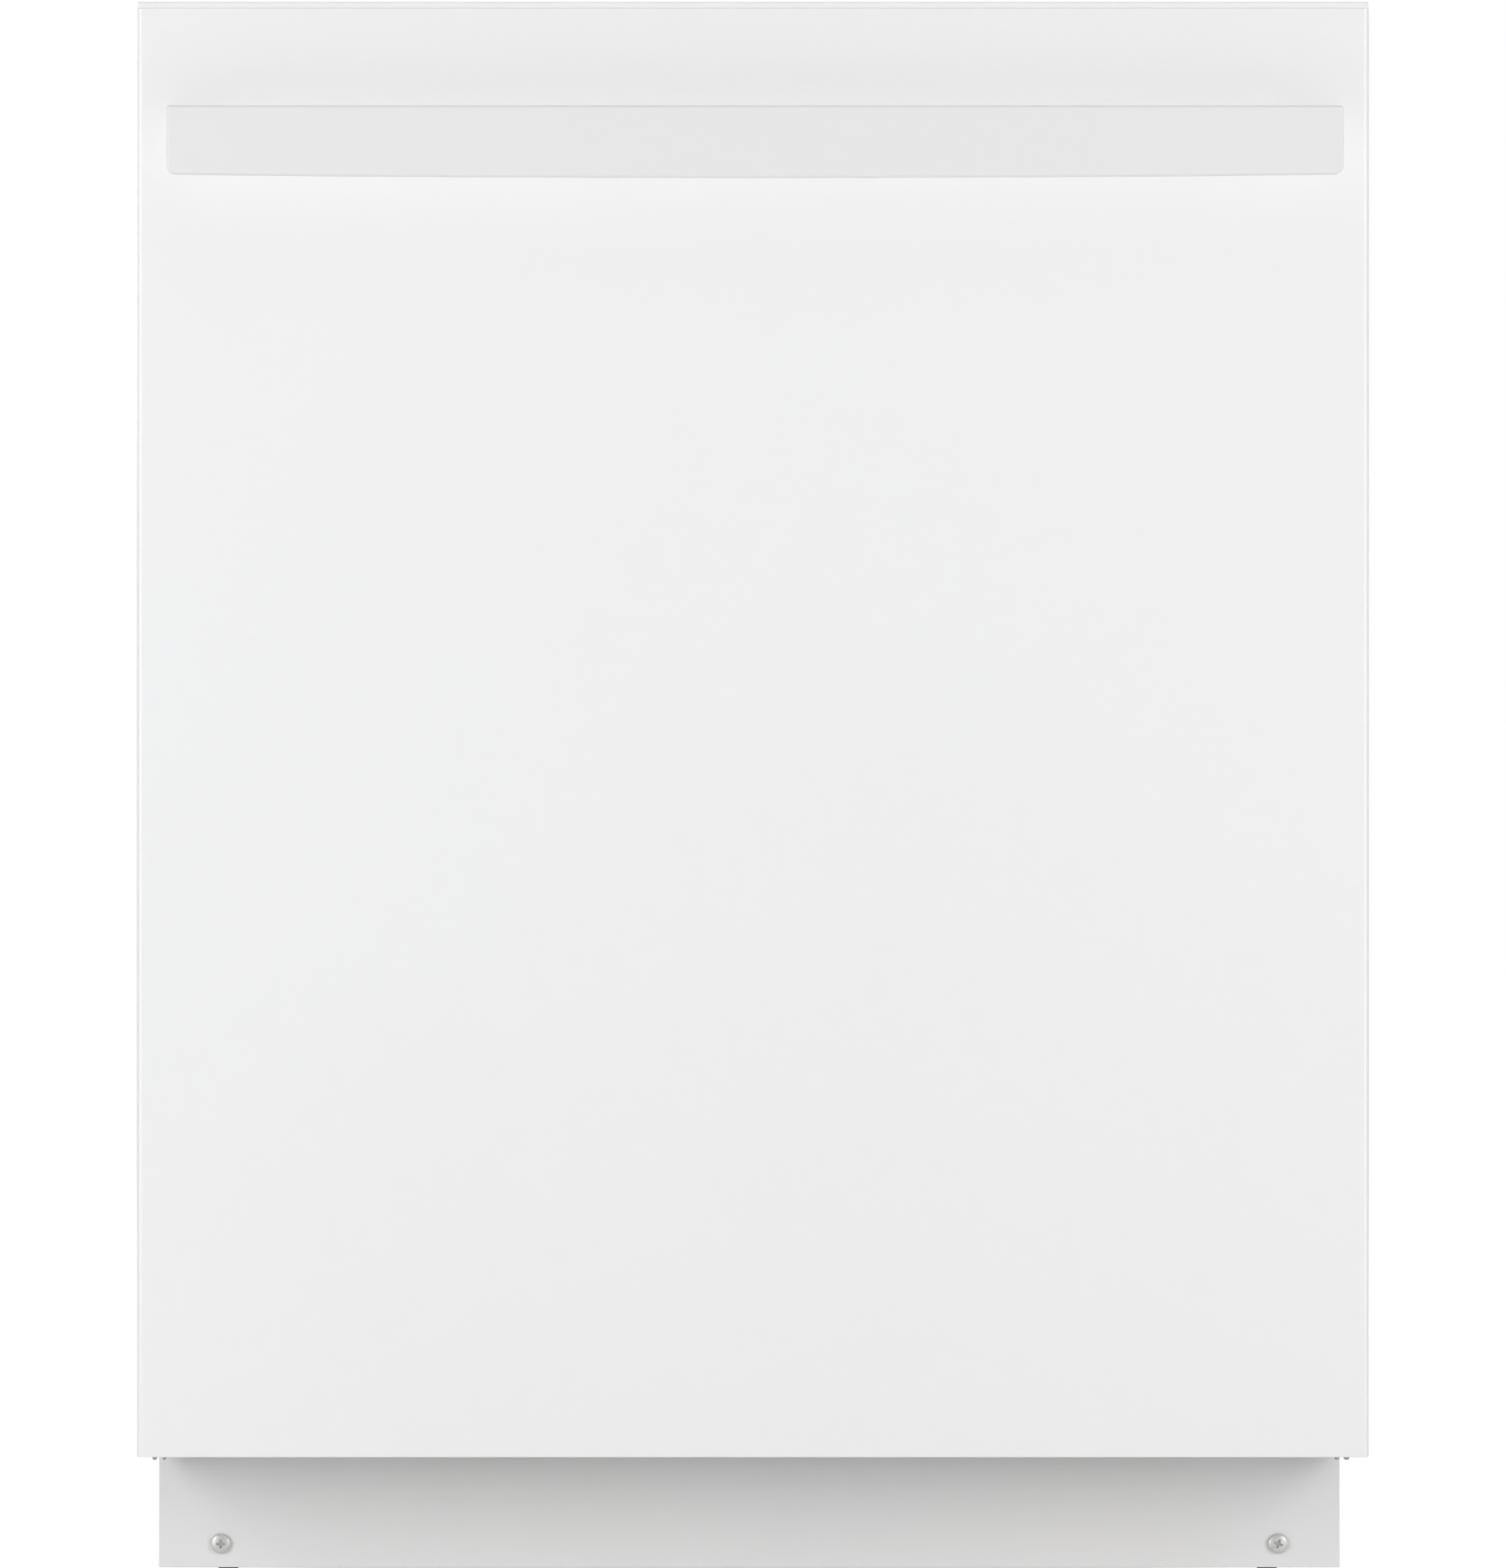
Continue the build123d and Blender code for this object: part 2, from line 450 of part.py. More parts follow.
for side in (-1, 1):
    for y in FOOT_YS:
        edge_y0 = max(y - 20, TOE_Y + 1.4 + BASE_WALL)
        edge_y1 = min(y + 20, BACK - BASE_WALL)
        x0, x1 = sorted((side * (FOOT_X - 19), side * side_in))
        boss = block(x0, x1, edge_y0, edge_y1, BASE_Z, 100)
        bosses.append(boss - rod((side * FOOT_X, y, 0), (side * FOOT_X, y, BASE_TOP), 10.1))
save("base_frame", front_beam, rear_beam, side_beam, mirrored(side_beam), *bosses)
TRAY_HALF = FOOT_X - 24
TRAY_Z = TOE_BOTTOM + 1
tray_front = block(-180, 140, TOE_Y + 12, -112, TRAY_Z, TRAY_Z + 2)
tray_rear = block(-TRAY_HALF, TRAY_HALF, -112, BACK - 10, TRAY_Z, TRAY_Z + 2)
save("drip_tray", tray_front, tray_rear)

for name, y in zip(("front_feet", "rear_feet"), FOOT_YS):
    feet = []
    for x in (-FOOT_X, FOOT_X):
        pad = rod((x, y, 0), (x, y, 6), 34)
        hexagon = extrude(Pos(x, y, 6) * RegularPolygon(12, 6), 8)
        stem = rod((x, y, 14), (x, y, 92), 10)
        feet.append(pad + hexagon + stem)
    save(name, *feet)

toe_kick = block(-295, 295, TOE_Y, TOE_Y + 1.4, TOE_BOTTOM, TOE_TOP)
for side in (-1, 1):
    start = (side * SCREW_X, TOE_Y - 1, SCREW_Z)
    toe_kick = toe_kick - rod(start, (side * SCREW_X, TOE_Y + 3, SCREW_Z), 5)
save("toe_kick", toe_kick)

screws = []
for side, turn in ((-1, 0.0), (1, 17.0)):
    x = side * SCREW_X
    shank = rod((x, TOE_Y, SCREW_Z), (x, TOE_Y + 12, SCREW_Z), 4)
    head = rod((x, TOE_Y, SCREW_Z), (x, TOE_Y - 2.8, SCREW_Z), 10)
    head = fillet(head.edges().group_by(Axis.Y)[0], 2)
    arm_a = Box(4.4, 2.4, 1.1)
    arm_b = Box(1.1, 2.4, 4.4)
    cross = Pos(x, TOE_Y - 2.4, SCREW_Z) * Rot(0, turn, 0) * (arm_a + arm_b)
    screws.append(shank + head - cross)
save("toe_kick_screws", *screws)

# ---------------------------------------------------------------- hinges and counterbalance
PIN_END = 297.5
nose = rod((SHELL_HALF, AXIS_Y, AXIS_Z), (289.5, AXIS_Y, AXIS_Z), 18)
plate_front = block(SHELL_HALF, 289.5, AXIS_Y, -212, AXIS_Z - 9, AXIS_Z + 9)
plate = block(SHELL_HALF, 289.5, -214, ANCHOR_Y + 8, 112, 160) + nose + plate_front
anchor = block(289.5, 299, ANCHOR_Y, ANCHOR_Y + 5, CABLE_Z - 8, CABLE_Z + 8)
hinge_pin = rod((SHELL_HALF, AXIS_Y, AXIS_Z), (PIN_END, AXIS_Y, AXIS_Z), 8)
hinge_hole = rod((SHELL_HALF - 1, AXIS_Y, AXIS_Z), (290, AXIS_Y, AXIS_Z), 8.1)
hinge_plate = plate + anchor - hinge_hole
save("hinge_brackets", hinge_plate, mirrored(hinge_plate), hinge_pin, mirrored(hinge_pin))

pulley = rod((290.2, AXIS_Y, AXIS_Z), (296.4, AXIS_Y, AXIS_Z), 2 * PULLEY_R + 4)
groove = tube((CABLE_X - 1.6, AXIS_Y, AXIS_Z), (CABLE_X + 1.6, AXIS_Y, AXIS_Z), 60, 2 * PULLEY_R - CABLE_D - 0.6)
arm = block(290.2, 296.4, FRONT + 8, LINER_Y - 4, AXIS_Z + 6, 330)
arm_link = block(290.2, 296.4, FRONT + 8, AXIS_Y - 3, AXIS_Z - 9, AXIS_Z + 9)
arm_flange = block(276, 290.2, LINER_Y - 6, LINER_Y - 4, 175, 330)
hinge_arm = (pulley - groove) + (arm_link - rod((280, AXIS_Y, AXIS_Z), (300, AXIS_Y, AXIS_Z), 53)) + arm
hinge_arm = hinge_arm + arm_flange - rod((280, AXIS_Y, AXIS_Z), (300, AXIS_Y, AXIS_Z), 8.1)
save("hinge_arms", hinge_arm, mirrored(hinge_arm))

cable = rod((CABLE_X, AXIS_Y + 4, CABLE_Z + 0.1), (CABLE_X, HOOK_Y - 6, CABLE_Z + 0.1), CABLE_D)
hook = block(CABLE_X - 3, CABLE_X + 4, HOOK_Y - 6, HOOK_Y, CABLE_Z - 4, CABLE_Z + 4)
spring = tube((CABLE_X + 1.4, HOOK_Y, CABLE_Z), (CABLE_X + 1.4, ANCHOR_Y, CABLE_Z), 9, 6.6)
for name, shape in (("balance_cables", cable), ("spring_hooks", hook), ("balance_springs", spring)):
    save(name, shape, mirrored(shape))

# ---------------------------------------------------------------- sump, filters, pumps
SUMP_BOTTOM = 98.0
bowl = rod((0, ARM_Y, SUMP_BOTTOM), (0, ARM_Y, TUB_FLOOR - TUB_WALL), 2 * SUMP_R)
flange = rod((0, ARM_Y, 144), (0, ARM_Y, TUB_FLOOR - TUB_WALL), 2 * SUMP_R + 26)
ports = block(-112, 112, ARM_Y - 22, ARM_Y + 22, 70, SUMP_BOTTOM + 4)
sump = bowl + flange + ports - rod((0, ARM_Y, SUMP_BOTTOM + 4), (0, ARM_Y, TUB_FLOOR), 2 * SUMP_R - 8)
save("sump", sump)

FILTER_Y = ARM_Y - 62.0
FILTER_R = 28.0
filter_plate = rod((0, ARM_Y, TUB_FLOOR - TUB_WALL), (0, ARM_Y, TUB_FLOOR + 0.6), 2 * SUMP_R + 9)
filter_plate = filter_plate - rod((0, ARM_Y, 140), (0, ARM_Y, 160), 24.8)
filter_plate = filter_plate - rod((0, FILTER_Y, 140), (0, FILTER_Y, 160), 2 * FILTER_R + 0.6)
save("fine_filter", filter_plate)
filter_cup = rod((0, FILTER_Y, 106), (0, FILTER_Y, 156), 2 * FILTER_R)
filter_cup = filter_cup - rod((0, FILTER_Y, 109), (0, FILTER_Y, 157), 2 * FILTER_R - 5)
filter_grip = block(-27, 27, FILTER_Y - 2.5, FILTER_Y + 2.5, 146, 158)
save("twist_filter", filter_cup + filter_grip)

hub = rod((0, ARM_Y, SUMP_BOTTOM + 4), (0, ARM_Y, 161), 24) - rod((0, ARM_Y, 110), (0, ARM_Y, 162), 16)
hub_post = rod((0, ARM_Y, 108), (0, ARM_Y, 181), 7.8)
save("lower_arm_hub", hub + hub_post)


def spray_arm(radius, z0, height, hub_d, bore_d):
    """A flat two-bladed arm with nozzle holes along its top, and a round hub."""
    blade = Pos(0, ARM_Y, z0) * SlotOverall(2 * radius, 38)
    arm_body = extrude(blade, height)
    arm_body = arm_body + rod((0, ARM_Y, z0 - 3), (0, ARM_Y, z0 + height + 2), hub_d)
    for step in range(1, 6):
        for side in (-1, 1):
            x = side * (36 + (radius - 56) * step / 5)
            y = ARM_Y + side * 8 * (-1) ** step
            arm_body = arm_body - rod((x, y, z0 + height - 2.5), (x, y, z0 + height + 1), 4)
    return arm_body - rod((0, ARM_Y, z0 - 6), (0, ARM_Y, z0 + height + 6), bore_d)


save("lower_spray_arm", spray_arm(238, 165, 11, 44, 8))

heater_ring = Pos(0, ARM_Y, 156) * Rot(0, 0, 98) * Torus(HEATER_R, 4, major_angle=344)
heater_legs = []
for x in HEATER_LEG_XS:
    heater_legs.append(rod((x, HEATER_LEG_Y, 128), (x, HEATER_LEG_Y, 157), 8))
save("heating_element", heater_ring + heater_legs[0] + heater_legs[1])

circ_body = rod((-134, ARM_Y, 92), (-228, ARM_Y, 92), 76)
circ_volute = rod((-118, ARM_Y, 92), (-134, ARM_Y, 92), 84)
circ_inlet = rod((-112, ARM_Y, 86), (-118, ARM_Y, 86), 28)
circ_outlet = block(-132, -120, ARM_Y + 20, ARM_Y + 58, 100, 116)
save("circulation_pump", circ_body + circ_volute + circ_inlet + circ_outlet)
drain_pump = rod((112, ARM_Y, 86), (124, ARM_Y, 86), 24) + rod((124, ARM_Y, 84), (136, ARM_Y, 84), 60)
drain_pump = drain_pump + block(136, 186, ARM_Y - 22, ARM_Y + 22, 62, 106)
save("drain_pump", drain_pump + block(124, 136, ARM_Y + 20, ARM_Y + 42, 76, 92))
feed = pipe(
    [(-126, ARM_Y + 58, 108), (-126, TUB_BACK - 50, 108), (0, TUB_BACK - 50, 108), (0, TUB_BACK - 8, 108)], 22, 14, 10
)
drain_hose = pipe(
    [(130, ARM_Y + 42, 84), (130, 180, 84), (DRAIN_X, 180, 84), (DRAIN_X, BACK - 24, 84)], 28, 20, 15
)
spigot = tube((DRAIN_X, BACK - 24, DRAIN_Z), (DRAIN_X, BACK, DRAIN_Z), 22, 16)
save("drain_outlet", spigot)

VALVE_X = -217.0
VALVE_Y = -150.0
beam_back = TOE_Y + 1.4 + BASE_WALL
valve_body = block(VALVE_X - 21, VALVE_X + 21, VALVE_Y - 21, VALVE_Y + 21, 70, 104)
valve_strap = block(VALVE_X - 9, VALVE_X + 9, beam_back, VALVE_Y - 21, 98, 101)
valve_coil = rod((VALVE_X, VALVE_Y, 104), (VALVE_X, VALVE_Y, 134), 26)
valve_port = rod((VALVE_X, VALVE_Y, 46), (VALVE_X, VALVE_Y, 70), 26)
valve_water_way = rod((VALVE_X, VALVE_Y, 45), (VALVE_X, VALVE_Y, 80), 15)
valve_out = rod((VALVE_X + 21, VALVE_Y, 78), (-184, VALVE_Y, 78), 12)
save("inlet_valve", valve_body + valve_strap + valve_coil + valve_port + valve_out - valve_water_way)
fill_pipe = pipe([(-184, VALVE_Y, 78), (0, VALVE_Y, 78), (0, ARM_Y - 22, 78)], 30, 12, 9)
save("inner_hoses", feed, drain_hose, fill_pipe)
BOX_X = 188.0
BOX_Y = beam_back + 30
junction = block(BOX_X - 38, BOX_X + 38, BOX_Y - 30, BOX_Y + 30, 56, 110)
junction = junction - block(BOX_X - 35, BOX_X + 35, BOX_Y - 27, BOX_Y + 27, 59, 111)
junction = junction - rod((BOX_X, BOX_Y, 50), (BOX_X, BOX_Y, 62), 22)
save("junction_box", junction, block(BOX_X - 39, BOX_X + 39, BOX_Y - 30, BOX_Y + 31, 110, 112))

# riser up the back wall, with a docking port for the upper rack and a run to the ceiling arm
DOCK_Z = 464.0
riser_run = block(-RISER_HALF, RISER_HALF, TUB_BACK - 14, TUB_BACK, TUB_FLOOR, 797)
ceiling_run = block(-RISER_HALF, RISER_HALF, ARM_Y - 12, TUB_BACK - 14, 789, 797)
riser_dock = rod((0, TUB_BACK - 22, DOCK_Z), (0, TUB_BACK - 14, DOCK_Z), 30)
riser_boss = rod((0, ARM_Y, 784), (0, ARM_Y, 789), 26)
riser_foot = block(-11, 11, TUB_BACK - 12, TUB_BACK - 4, 117, TUB_FLOOR)
top_pin = rod((0, ARM_Y, 762), (0, ARM_Y, 784), 7.8)
top_nut = rod((0, ARM_Y, 758), (0, ARM_Y, 762), 16)
save("riser", riser_run, ceiling_run, riser_dock, riser_boss, riser_foot, top_pin, top_nut)
save("top_spray_arm", spray_arm(150, 768, 9, 40, 8))

float_dome = rod((FLOAT_X, FLOAT_Y, 152), (FLOAT_X, FLOAT_Y, 172), 44)
float_dome = fillet(float_dome.edges().group_by(Axis.Z)[-1], 8)
float_dome = float_dome - rod((FLOAT_X, FLOAT_Y, 151), (FLOAT_X, FLOAT_Y, 166), 38)
save("float", float_dome + rod((FLOAT_X, FLOAT_Y, 136), (FLOAT_X, FLOAT_Y, 167), 8))
float_guide = tube((FLOAT_X, FLOAT_Y, 140), (FLOAT_X, FLOAT_Y, 162), 11.9, 8.2)


# ---------------------------------------------------------------- racks
def rack_wires(front, back, z, rim_z, cross_count, length_count, tine_rows, tine_top):
    """Straight wires that touch but don't cross: floor grid, uprights, rim, tines."""
    wires = []
    xs = [-RACK_HALF + 2 * RACK_HALF * i / (length_count - 1) for i in range(length_count)]
    ys = [front + 14 + (back - front - 28) * i / (cross_count - 1) for i in range(cross_count)]
    low = z - WIRE
    for x in xs:
        wires.append(rod((x, front, z), (x, back, z), WIRE))
        wires.append(rod((x, front, z + WIRE / 2), (x, front, rim_z), WIRE))
        wires.append(rod((x, back, z + WIRE / 2), (x, back, rim_z), WIRE))
    for y in ys:
        wires.append(rod((-RACK_HALF - WIRE, y, low), (RACK_HALF + WIRE, y, low), WIRE))
        for side in (-1, 1):
            x = side * (RACK_HALF + WIRE)
            wires.append(rod((x, y, z - WIRE / 2), (x, y, rim_z), WIRE))
    edge = RACK_HALF + WIRE
    for side in (-1, 1):
        x = side * edge
        wires.append(rod((x, front - 2, rim_z + RIM_WIRE / 2), (x, back + 2, rim_z + RIM_WIRE / 2), RIM_WIRE))
        inner = edge - RIM_WIRE / 2
        y = front if side < 0 else back
        wires.append(rod((-inner, y, rim_z + RIM_WIRE / 2), (inner, y, rim_z + RIM_WIRE / 2), RIM_WIRE))
    middle = (z + rim_z) / 2
    for side in (-1, 1):
        x = side * (edge - WIRE)
        wires.append(rod((x, front + WIRE, middle), (x, back - WIRE, middle), WIRE))
        y = front + WIRE if side < 0 else back - WIRE
        reach = edge - 1.5 * WIRE
        wires.append(rod((-reach, y, middle + WIRE), (reach, y, middle + WIRE), WIRE))
    for x in tine_rows:
        for y in ys[1:-1]:
            wires.append(rod((x, y, low + WIRE / 2), (x, y, tine_top), WIRE))
    return wires


upper_tines = (-175.0, -75.0, 75.0, 175.0)
upper = rack_wires(UPPER_FRONT, UPPER_BACK, UPPER_Z, UPPER_RIM_Z, 8, 11, upper_tines, 545)
lower_tines = (-220.0, -160.0, -100.0, 30.0, 90.0, 150.0)
lower = rack_wires(LOWER_FRONT, LOWER_BACK, LOWER_Z, LOWER_RIM_Z, 9, 11, lower_tines, 285)

# side plates that hold the wheels of the racks
AXLE_D = 6.0
UPPER_WHEEL_YS = (0.0, 215.0)
LOWER_WHEEL_YS = (-95.0, 215.0)
plates = []
for side in (-1, 1):
    x0, x1 = sorted((side * 252.1, side * 253.6))
    for y in UPPER_WHEEL_YS:
        holder = block(x0, x1, y - 16, y + 16, TRACK_Z - 10, UPPER_RIM_Z + 2)
        axle = rod((side * 253.6, y, TRACK_Z), (side * 262.4, y, TRACK_Z), AXLE_D)
        plates += [holder, axle]
save("upper_rack", *upper, *plates)
plates = []
for side in (-1, 1):
    x0, x1 = sorted((side * 252.1, side * 253.6))
    for y in LOWER_WHEEL_YS:
        holder = block(x0, x1, y - 12, y + 12, TUB_FLOOR + 8, 236)
        axle = rod((side * 253.6, y, TUB_FLOOR + 16.3), (side * 264, y, TUB_FLOOR + 16.3), AXLE_D)
        plates += [holder, axle]
save("lower_rack", *lower, *plates)


def wheel_pair(x_in, width, y, z, radius):
    """Two plain rollers on one axis line, one on each side, with running bores."""
    right = tube((x_in, y, z), (x_in + width, y, z), 2 * radius, AXLE_D + 0.1)
    return right, mirrored(right)


for y, place in zip(UPPER_WHEEL_YS, ("front", "rear")):
    save(f"upper_wheels_{place}", *wheel_pair(254.2, 6.4, y, TRACK_Z, WHEEL_R))
for y, place in zip(LOWER_WHEEL_YS, ("front", "rear")):
    save(f"lower_wheels_{place}", *wheel_pair(254.4, 8.6, y, TUB_FLOOR + 16.3, LOWER_WHEEL_R))

# telescopic tracks: an H section, the rack's wheels inside and the tub's wheels outside
TRACK_HALF = WHEEL_R + 0.5
TRACK_FRONT = -205.0
TRACK_BACK = 262.0
flange_high = block(254, 274, TRACK_FRONT, TRACK_BACK, TRACK_Z + TRACK_HALF, TRACK_Z + TRACK_HALF + 1.6)
flange_low = block(254, 274, TRACK_FRONT, TRACK_BACK, TRACK_Z - TRACK_HALF - 1.6, TRACK_Z - TRACK_HALF)
web = block(263, 264.4, TRACK_FRONT, TRACK_BACK, TRACK_Z - TRACK_HALF, TRACK_Z + TRACK_HALF)
stop = block(254, 263, TRACK_FRONT, TRACK_FRONT + 2, TRACK_Z - TRACK_HALF, TRACK_Z + TRACK_HALF)
track = [flange_high, flange_low, web, stop]
save("rack_tracks", *track, *[mirrored(part) for part in track])
TUB_WHEEL_Y = -185.0
axles = []
for side in (-1, 1):
    axles.append(rod((side * TUB_HALF, TUB_WHEEL_Y, TRACK_Z), (side * 265, TUB_WHEEL_Y, TRACK_Z), AXLE_D))
save("tub_wheels", *wheel_pair(266, 7.4, TUB_WHEEL_Y, TRACK_Z, WHEEL_R))
save("tub", *tub_panels, float_guide, *axles)

# middle spray arm and its feed, carried by the upper rack
MID_ARM_Z = 462.0
feed_run = block(-9, 9, ARM_Y + 20, TUB_BACK - 24, UPPER_Z - 22, UPPER_Z - 10)
feed_hub = rod((0, ARM_Y, UPPER_Z - 22), (0, ARM_Y, UPPER_Z - 8), 44)
feed_pin = rod((0, ARM_Y, MID_ARM_Z - 15.5), (0, ARM_Y, UPPER_Z - 8), 7.8)
middle_nut = rod((0, ARM_Y, MID_ARM_Z - 20), (0, ARM_Y, MID_ARM_Z - 15.5), 14)
save("middle_arm_feed", feed_run + feed_hub + feed_pin, middle_nut)
save("middle_spray_arm", spray_arm(215, 450, 10, 40, 8))

# silverware basket: a divided box open at the top, with a carrying handle
basket = block(-62, -2, -160, 10, LOWER_Z + 2.2, 312)
for i in range(4):
    y0 = -157 + 41.5 * i
    basket = basket - block(-59, -33.5, y0, y0 + 39, LOWER_Z + 5, 313)
    basket = basket - block(-30.5, -5, y0, y0 + 39, LOWER_Z + 5, 313)
save("silverware_basket", basket)
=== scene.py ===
"""Built-in dishwasher: finishes, detailed pieces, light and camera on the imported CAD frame."""

import math

import bmesh
import bpy
from mathutils import Matrix, Vector, noise


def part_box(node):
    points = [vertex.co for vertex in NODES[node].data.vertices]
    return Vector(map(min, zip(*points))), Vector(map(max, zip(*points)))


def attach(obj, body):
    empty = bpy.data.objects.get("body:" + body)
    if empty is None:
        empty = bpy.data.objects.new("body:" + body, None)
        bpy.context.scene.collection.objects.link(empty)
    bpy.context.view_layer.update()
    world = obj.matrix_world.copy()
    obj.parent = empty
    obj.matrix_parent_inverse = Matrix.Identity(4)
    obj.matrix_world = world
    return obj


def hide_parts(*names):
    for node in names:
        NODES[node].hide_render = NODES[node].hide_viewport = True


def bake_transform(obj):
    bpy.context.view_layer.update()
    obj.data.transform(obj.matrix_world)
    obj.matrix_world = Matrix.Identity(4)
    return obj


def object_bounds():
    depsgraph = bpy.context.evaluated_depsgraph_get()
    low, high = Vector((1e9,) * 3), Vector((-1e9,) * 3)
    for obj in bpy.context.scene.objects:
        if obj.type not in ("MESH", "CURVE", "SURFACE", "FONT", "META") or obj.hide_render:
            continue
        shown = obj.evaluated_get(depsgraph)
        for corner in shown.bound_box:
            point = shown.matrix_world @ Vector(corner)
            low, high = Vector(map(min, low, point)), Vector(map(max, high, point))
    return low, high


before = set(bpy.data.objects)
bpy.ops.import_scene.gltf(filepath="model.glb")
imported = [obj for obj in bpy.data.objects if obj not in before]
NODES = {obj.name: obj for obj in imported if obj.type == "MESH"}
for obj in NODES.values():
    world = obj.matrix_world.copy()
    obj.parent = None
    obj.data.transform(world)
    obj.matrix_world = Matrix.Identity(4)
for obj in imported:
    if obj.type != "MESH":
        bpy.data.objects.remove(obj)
CAD_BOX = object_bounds()
MM = 0.001


# ---------------------------------------------------------------- materials
class Surface:
    """A procedural finish whose textures are laid out in the object's own space, in metres."""

    def __init__(self, name, colour, roughness, metallic=0.0, coat=0.0, specular=0.5, coat_roughness=0.1):
        self.material = bpy.data.materials.new(name)
        self.material.use_nodes = True
        self.material.diffuse_color = (*colour, 1.0)
        self.tree = self.material.node_tree
        self.shader = self.tree.nodes["Principled BSDF"]
        self.shader.inputs["Base Color"].default_value = (*colour, 1.0)
        self.shader.inputs["Roughness"].default_value = roughness
        self.shader.inputs["Metallic"].default_value = metallic
        self.shader.inputs["Coat Weight"].default_value = coat
        self.shader.inputs["Coat Roughness"].default_value = coat_roughness
        self.shader.inputs["Specular IOR Level"].default_value = specular
        self.base = (*colour, 1.0)
        self.base_colour = None
        self.coords = self.add("ShaderNodeTexCoord").outputs["Object"]
        self.bumped = None

    def add(self, kind, **values):
        node = self.tree.nodes.new(kind)
        for key, value in values.items():
            setattr(node, key, value)
        return node

    def join(self, output, node_input):
        self.tree.links.new(output, node_input)

    def placed(self, stretch):
        """The object's coordinates, scaled by a factor along each axis."""
        node = self.add("ShaderNodeMapping")
        node.inputs["Scale"].default_value = stretch
        self.join(self.coords, node.inputs["Vector"])
        return node.outputs["Vector"]

    def noise(self, scale, detail=3.0, stretch=(1, 1, 1), distortion=0.0):
        node = self.add("ShaderNodeTexNoise")
        node.inputs["Scale"].default_value = scale
        node.inputs["Detail"].default_value = detail
        node.inputs["Distortion"].default_value = distortion
        self.join(self.placed(stretch), node.inputs["Vector"])
        return node.outputs["Fac"]

    def cells(self, scale, stretch=(1, 1, 1), feature="F1", output="Distance"):
        node = self.add("ShaderNodeTexVoronoi", feature=feature)
        node.inputs["Scale"].default_value = scale
        self.join(self.placed(stretch), node.inputs["Vector"])
        return node.outputs[output]

    def axis(self, name):
        node = self.add("ShaderNodeSeparateXYZ")
        self.join(self.coords, node.inputs["Vector"])
        return node.outputs[name]

    def fit(self, value, low, high, to_low=0.0, to_high=1.0):
        node = self.add("ShaderNodeMapRange")
        node.inputs["From Min"].default_value = low
        node.inputs["From Max"].default_value = high
        node.inputs["To Min"].default_value = to_low
        node.inputs["To Max"].default_value = to_high
        self.join(value, node.inputs["Value"])
        return node.outputs["Result"]

    def math(self, operation, first, second):
        node = self.add("ShaderNodeMath", operation=operation)
        for socket, value in zip(node.inputs, (first, second)):
            if isinstance(value, (int, float)):
                socket.default_value = value
            else:
                self.join(value, socket)
        return node.outputs["Value"]

    def tint(self, factor, colour, kind="MIX"):
        """Blends another colour over what the base colour is so far."""
        node = self.add("ShaderNodeMix", data_type="RGBA", blend_type=kind)
        self.join(factor, node.inputs["Factor"])
        if self.base_colour is None:
            node.inputs["A"].default_value = self.base
            a_socket = [s for s in node.inputs if s.name == "A" and s.type == "RGBA"][0]
            a_socket.default_value = self.base
        else:
            a_socket = [s for s in node.inputs if s.name == "A" and s.type == "RGBA"][0]
            self.join(self.base_colour, a_socket)
        b_socket = [s for s in node.inputs if s.name == "B" and s.type == "RGBA"][0]
        b_socket.default_value = (*colour, 1.0)
        self.base_colour = [s for s in node.outputs if s.name == "Result" and s.type == "RGBA"][0]
        self.join(self.base_colour, self.shader.inputs["Base Color"])
        return self

    def rough(self, value, low, high, to_low, to_high):
        self.join(self.fit(value, low, high, to_low, to_high), self.shader.inputs["Roughness"])
        return self

    def bump(self, height, distance_mm, strength=1.0):
        node = self.add("ShaderNodeBump")
        node.inputs["Strength"].default_value = strength
        node.inputs["Distance"].default_value = distance_mm * MM
        self.join(height, node.inputs["Height"])
        if self.bumped is not None:
            self.join(self.bumped, node.inputs["Normal"])
        self.bumped = node.outputs["Normal"]
        self.join(self.bumped, self.shader.inputs["Normal"])
        return self

    def worn_edges(self, radius_mm, colour, amount=0.6):
        """Lets an edge show another colour, where the rounded normal leaves the face's own."""
        bevel = self.add("ShaderNodeBevel", samples=4)
        bevel.inputs["Radius"].default_value = radius_mm * MM
        plain = self.add("ShaderNodeNewGeometry")
        dot = self.add("ShaderNodeVectorMath", operation="DOT_PRODUCT")
        self.join(bevel.outputs["Normal"], dot.inputs[0])
        self.join(plain.outputs["Normal"], dot.inputs[1])
        edge = self.fit(dot.outputs["Value"], 0.995, 0.86, 0.0, amount)
        patchy = self.fit(self.noise(160, 4), 0.42, 0.62, 0.15, 1.0)
        return self.tint(self.math("MULTIPLY", edge, patchy), colour)


def enamel(name, colour, warm, cool):
    """Sprayed and baked white enamel: broad shade drift, faint orange peel, fine dust."""
    s = Surface(name, colour, 0.3, coat=0.25, coat_roughness=0.12)
    s.tint(s.fit(s.noise(2.6, 2, distortion=0.6), 0.35, 0.7, 0.0, 0.55), warm)
    s.tint(s.fit(s.noise(4.5, 3, stretch=(1, 1, 0.5)), 0.5, 0.75, 0.0, 0.4), cool)
    s.tint(s.fit(s.noise(900, 2), 0.70, 0.78, 0.0, 0.10), (0.62, 0.62, 0.6))
    s.rough(s.noise(38, 4), 0.3, 0.7, 0.285, 0.325)
    s.bump(s.noise(420, 2), 0.05, 0.12)
    s.bump(s.noise(14, 1), 0.25, 0.02)
    s.worn_edges(1.0, (0.74, 0.74, 0.735), 0.35)
    return s.material


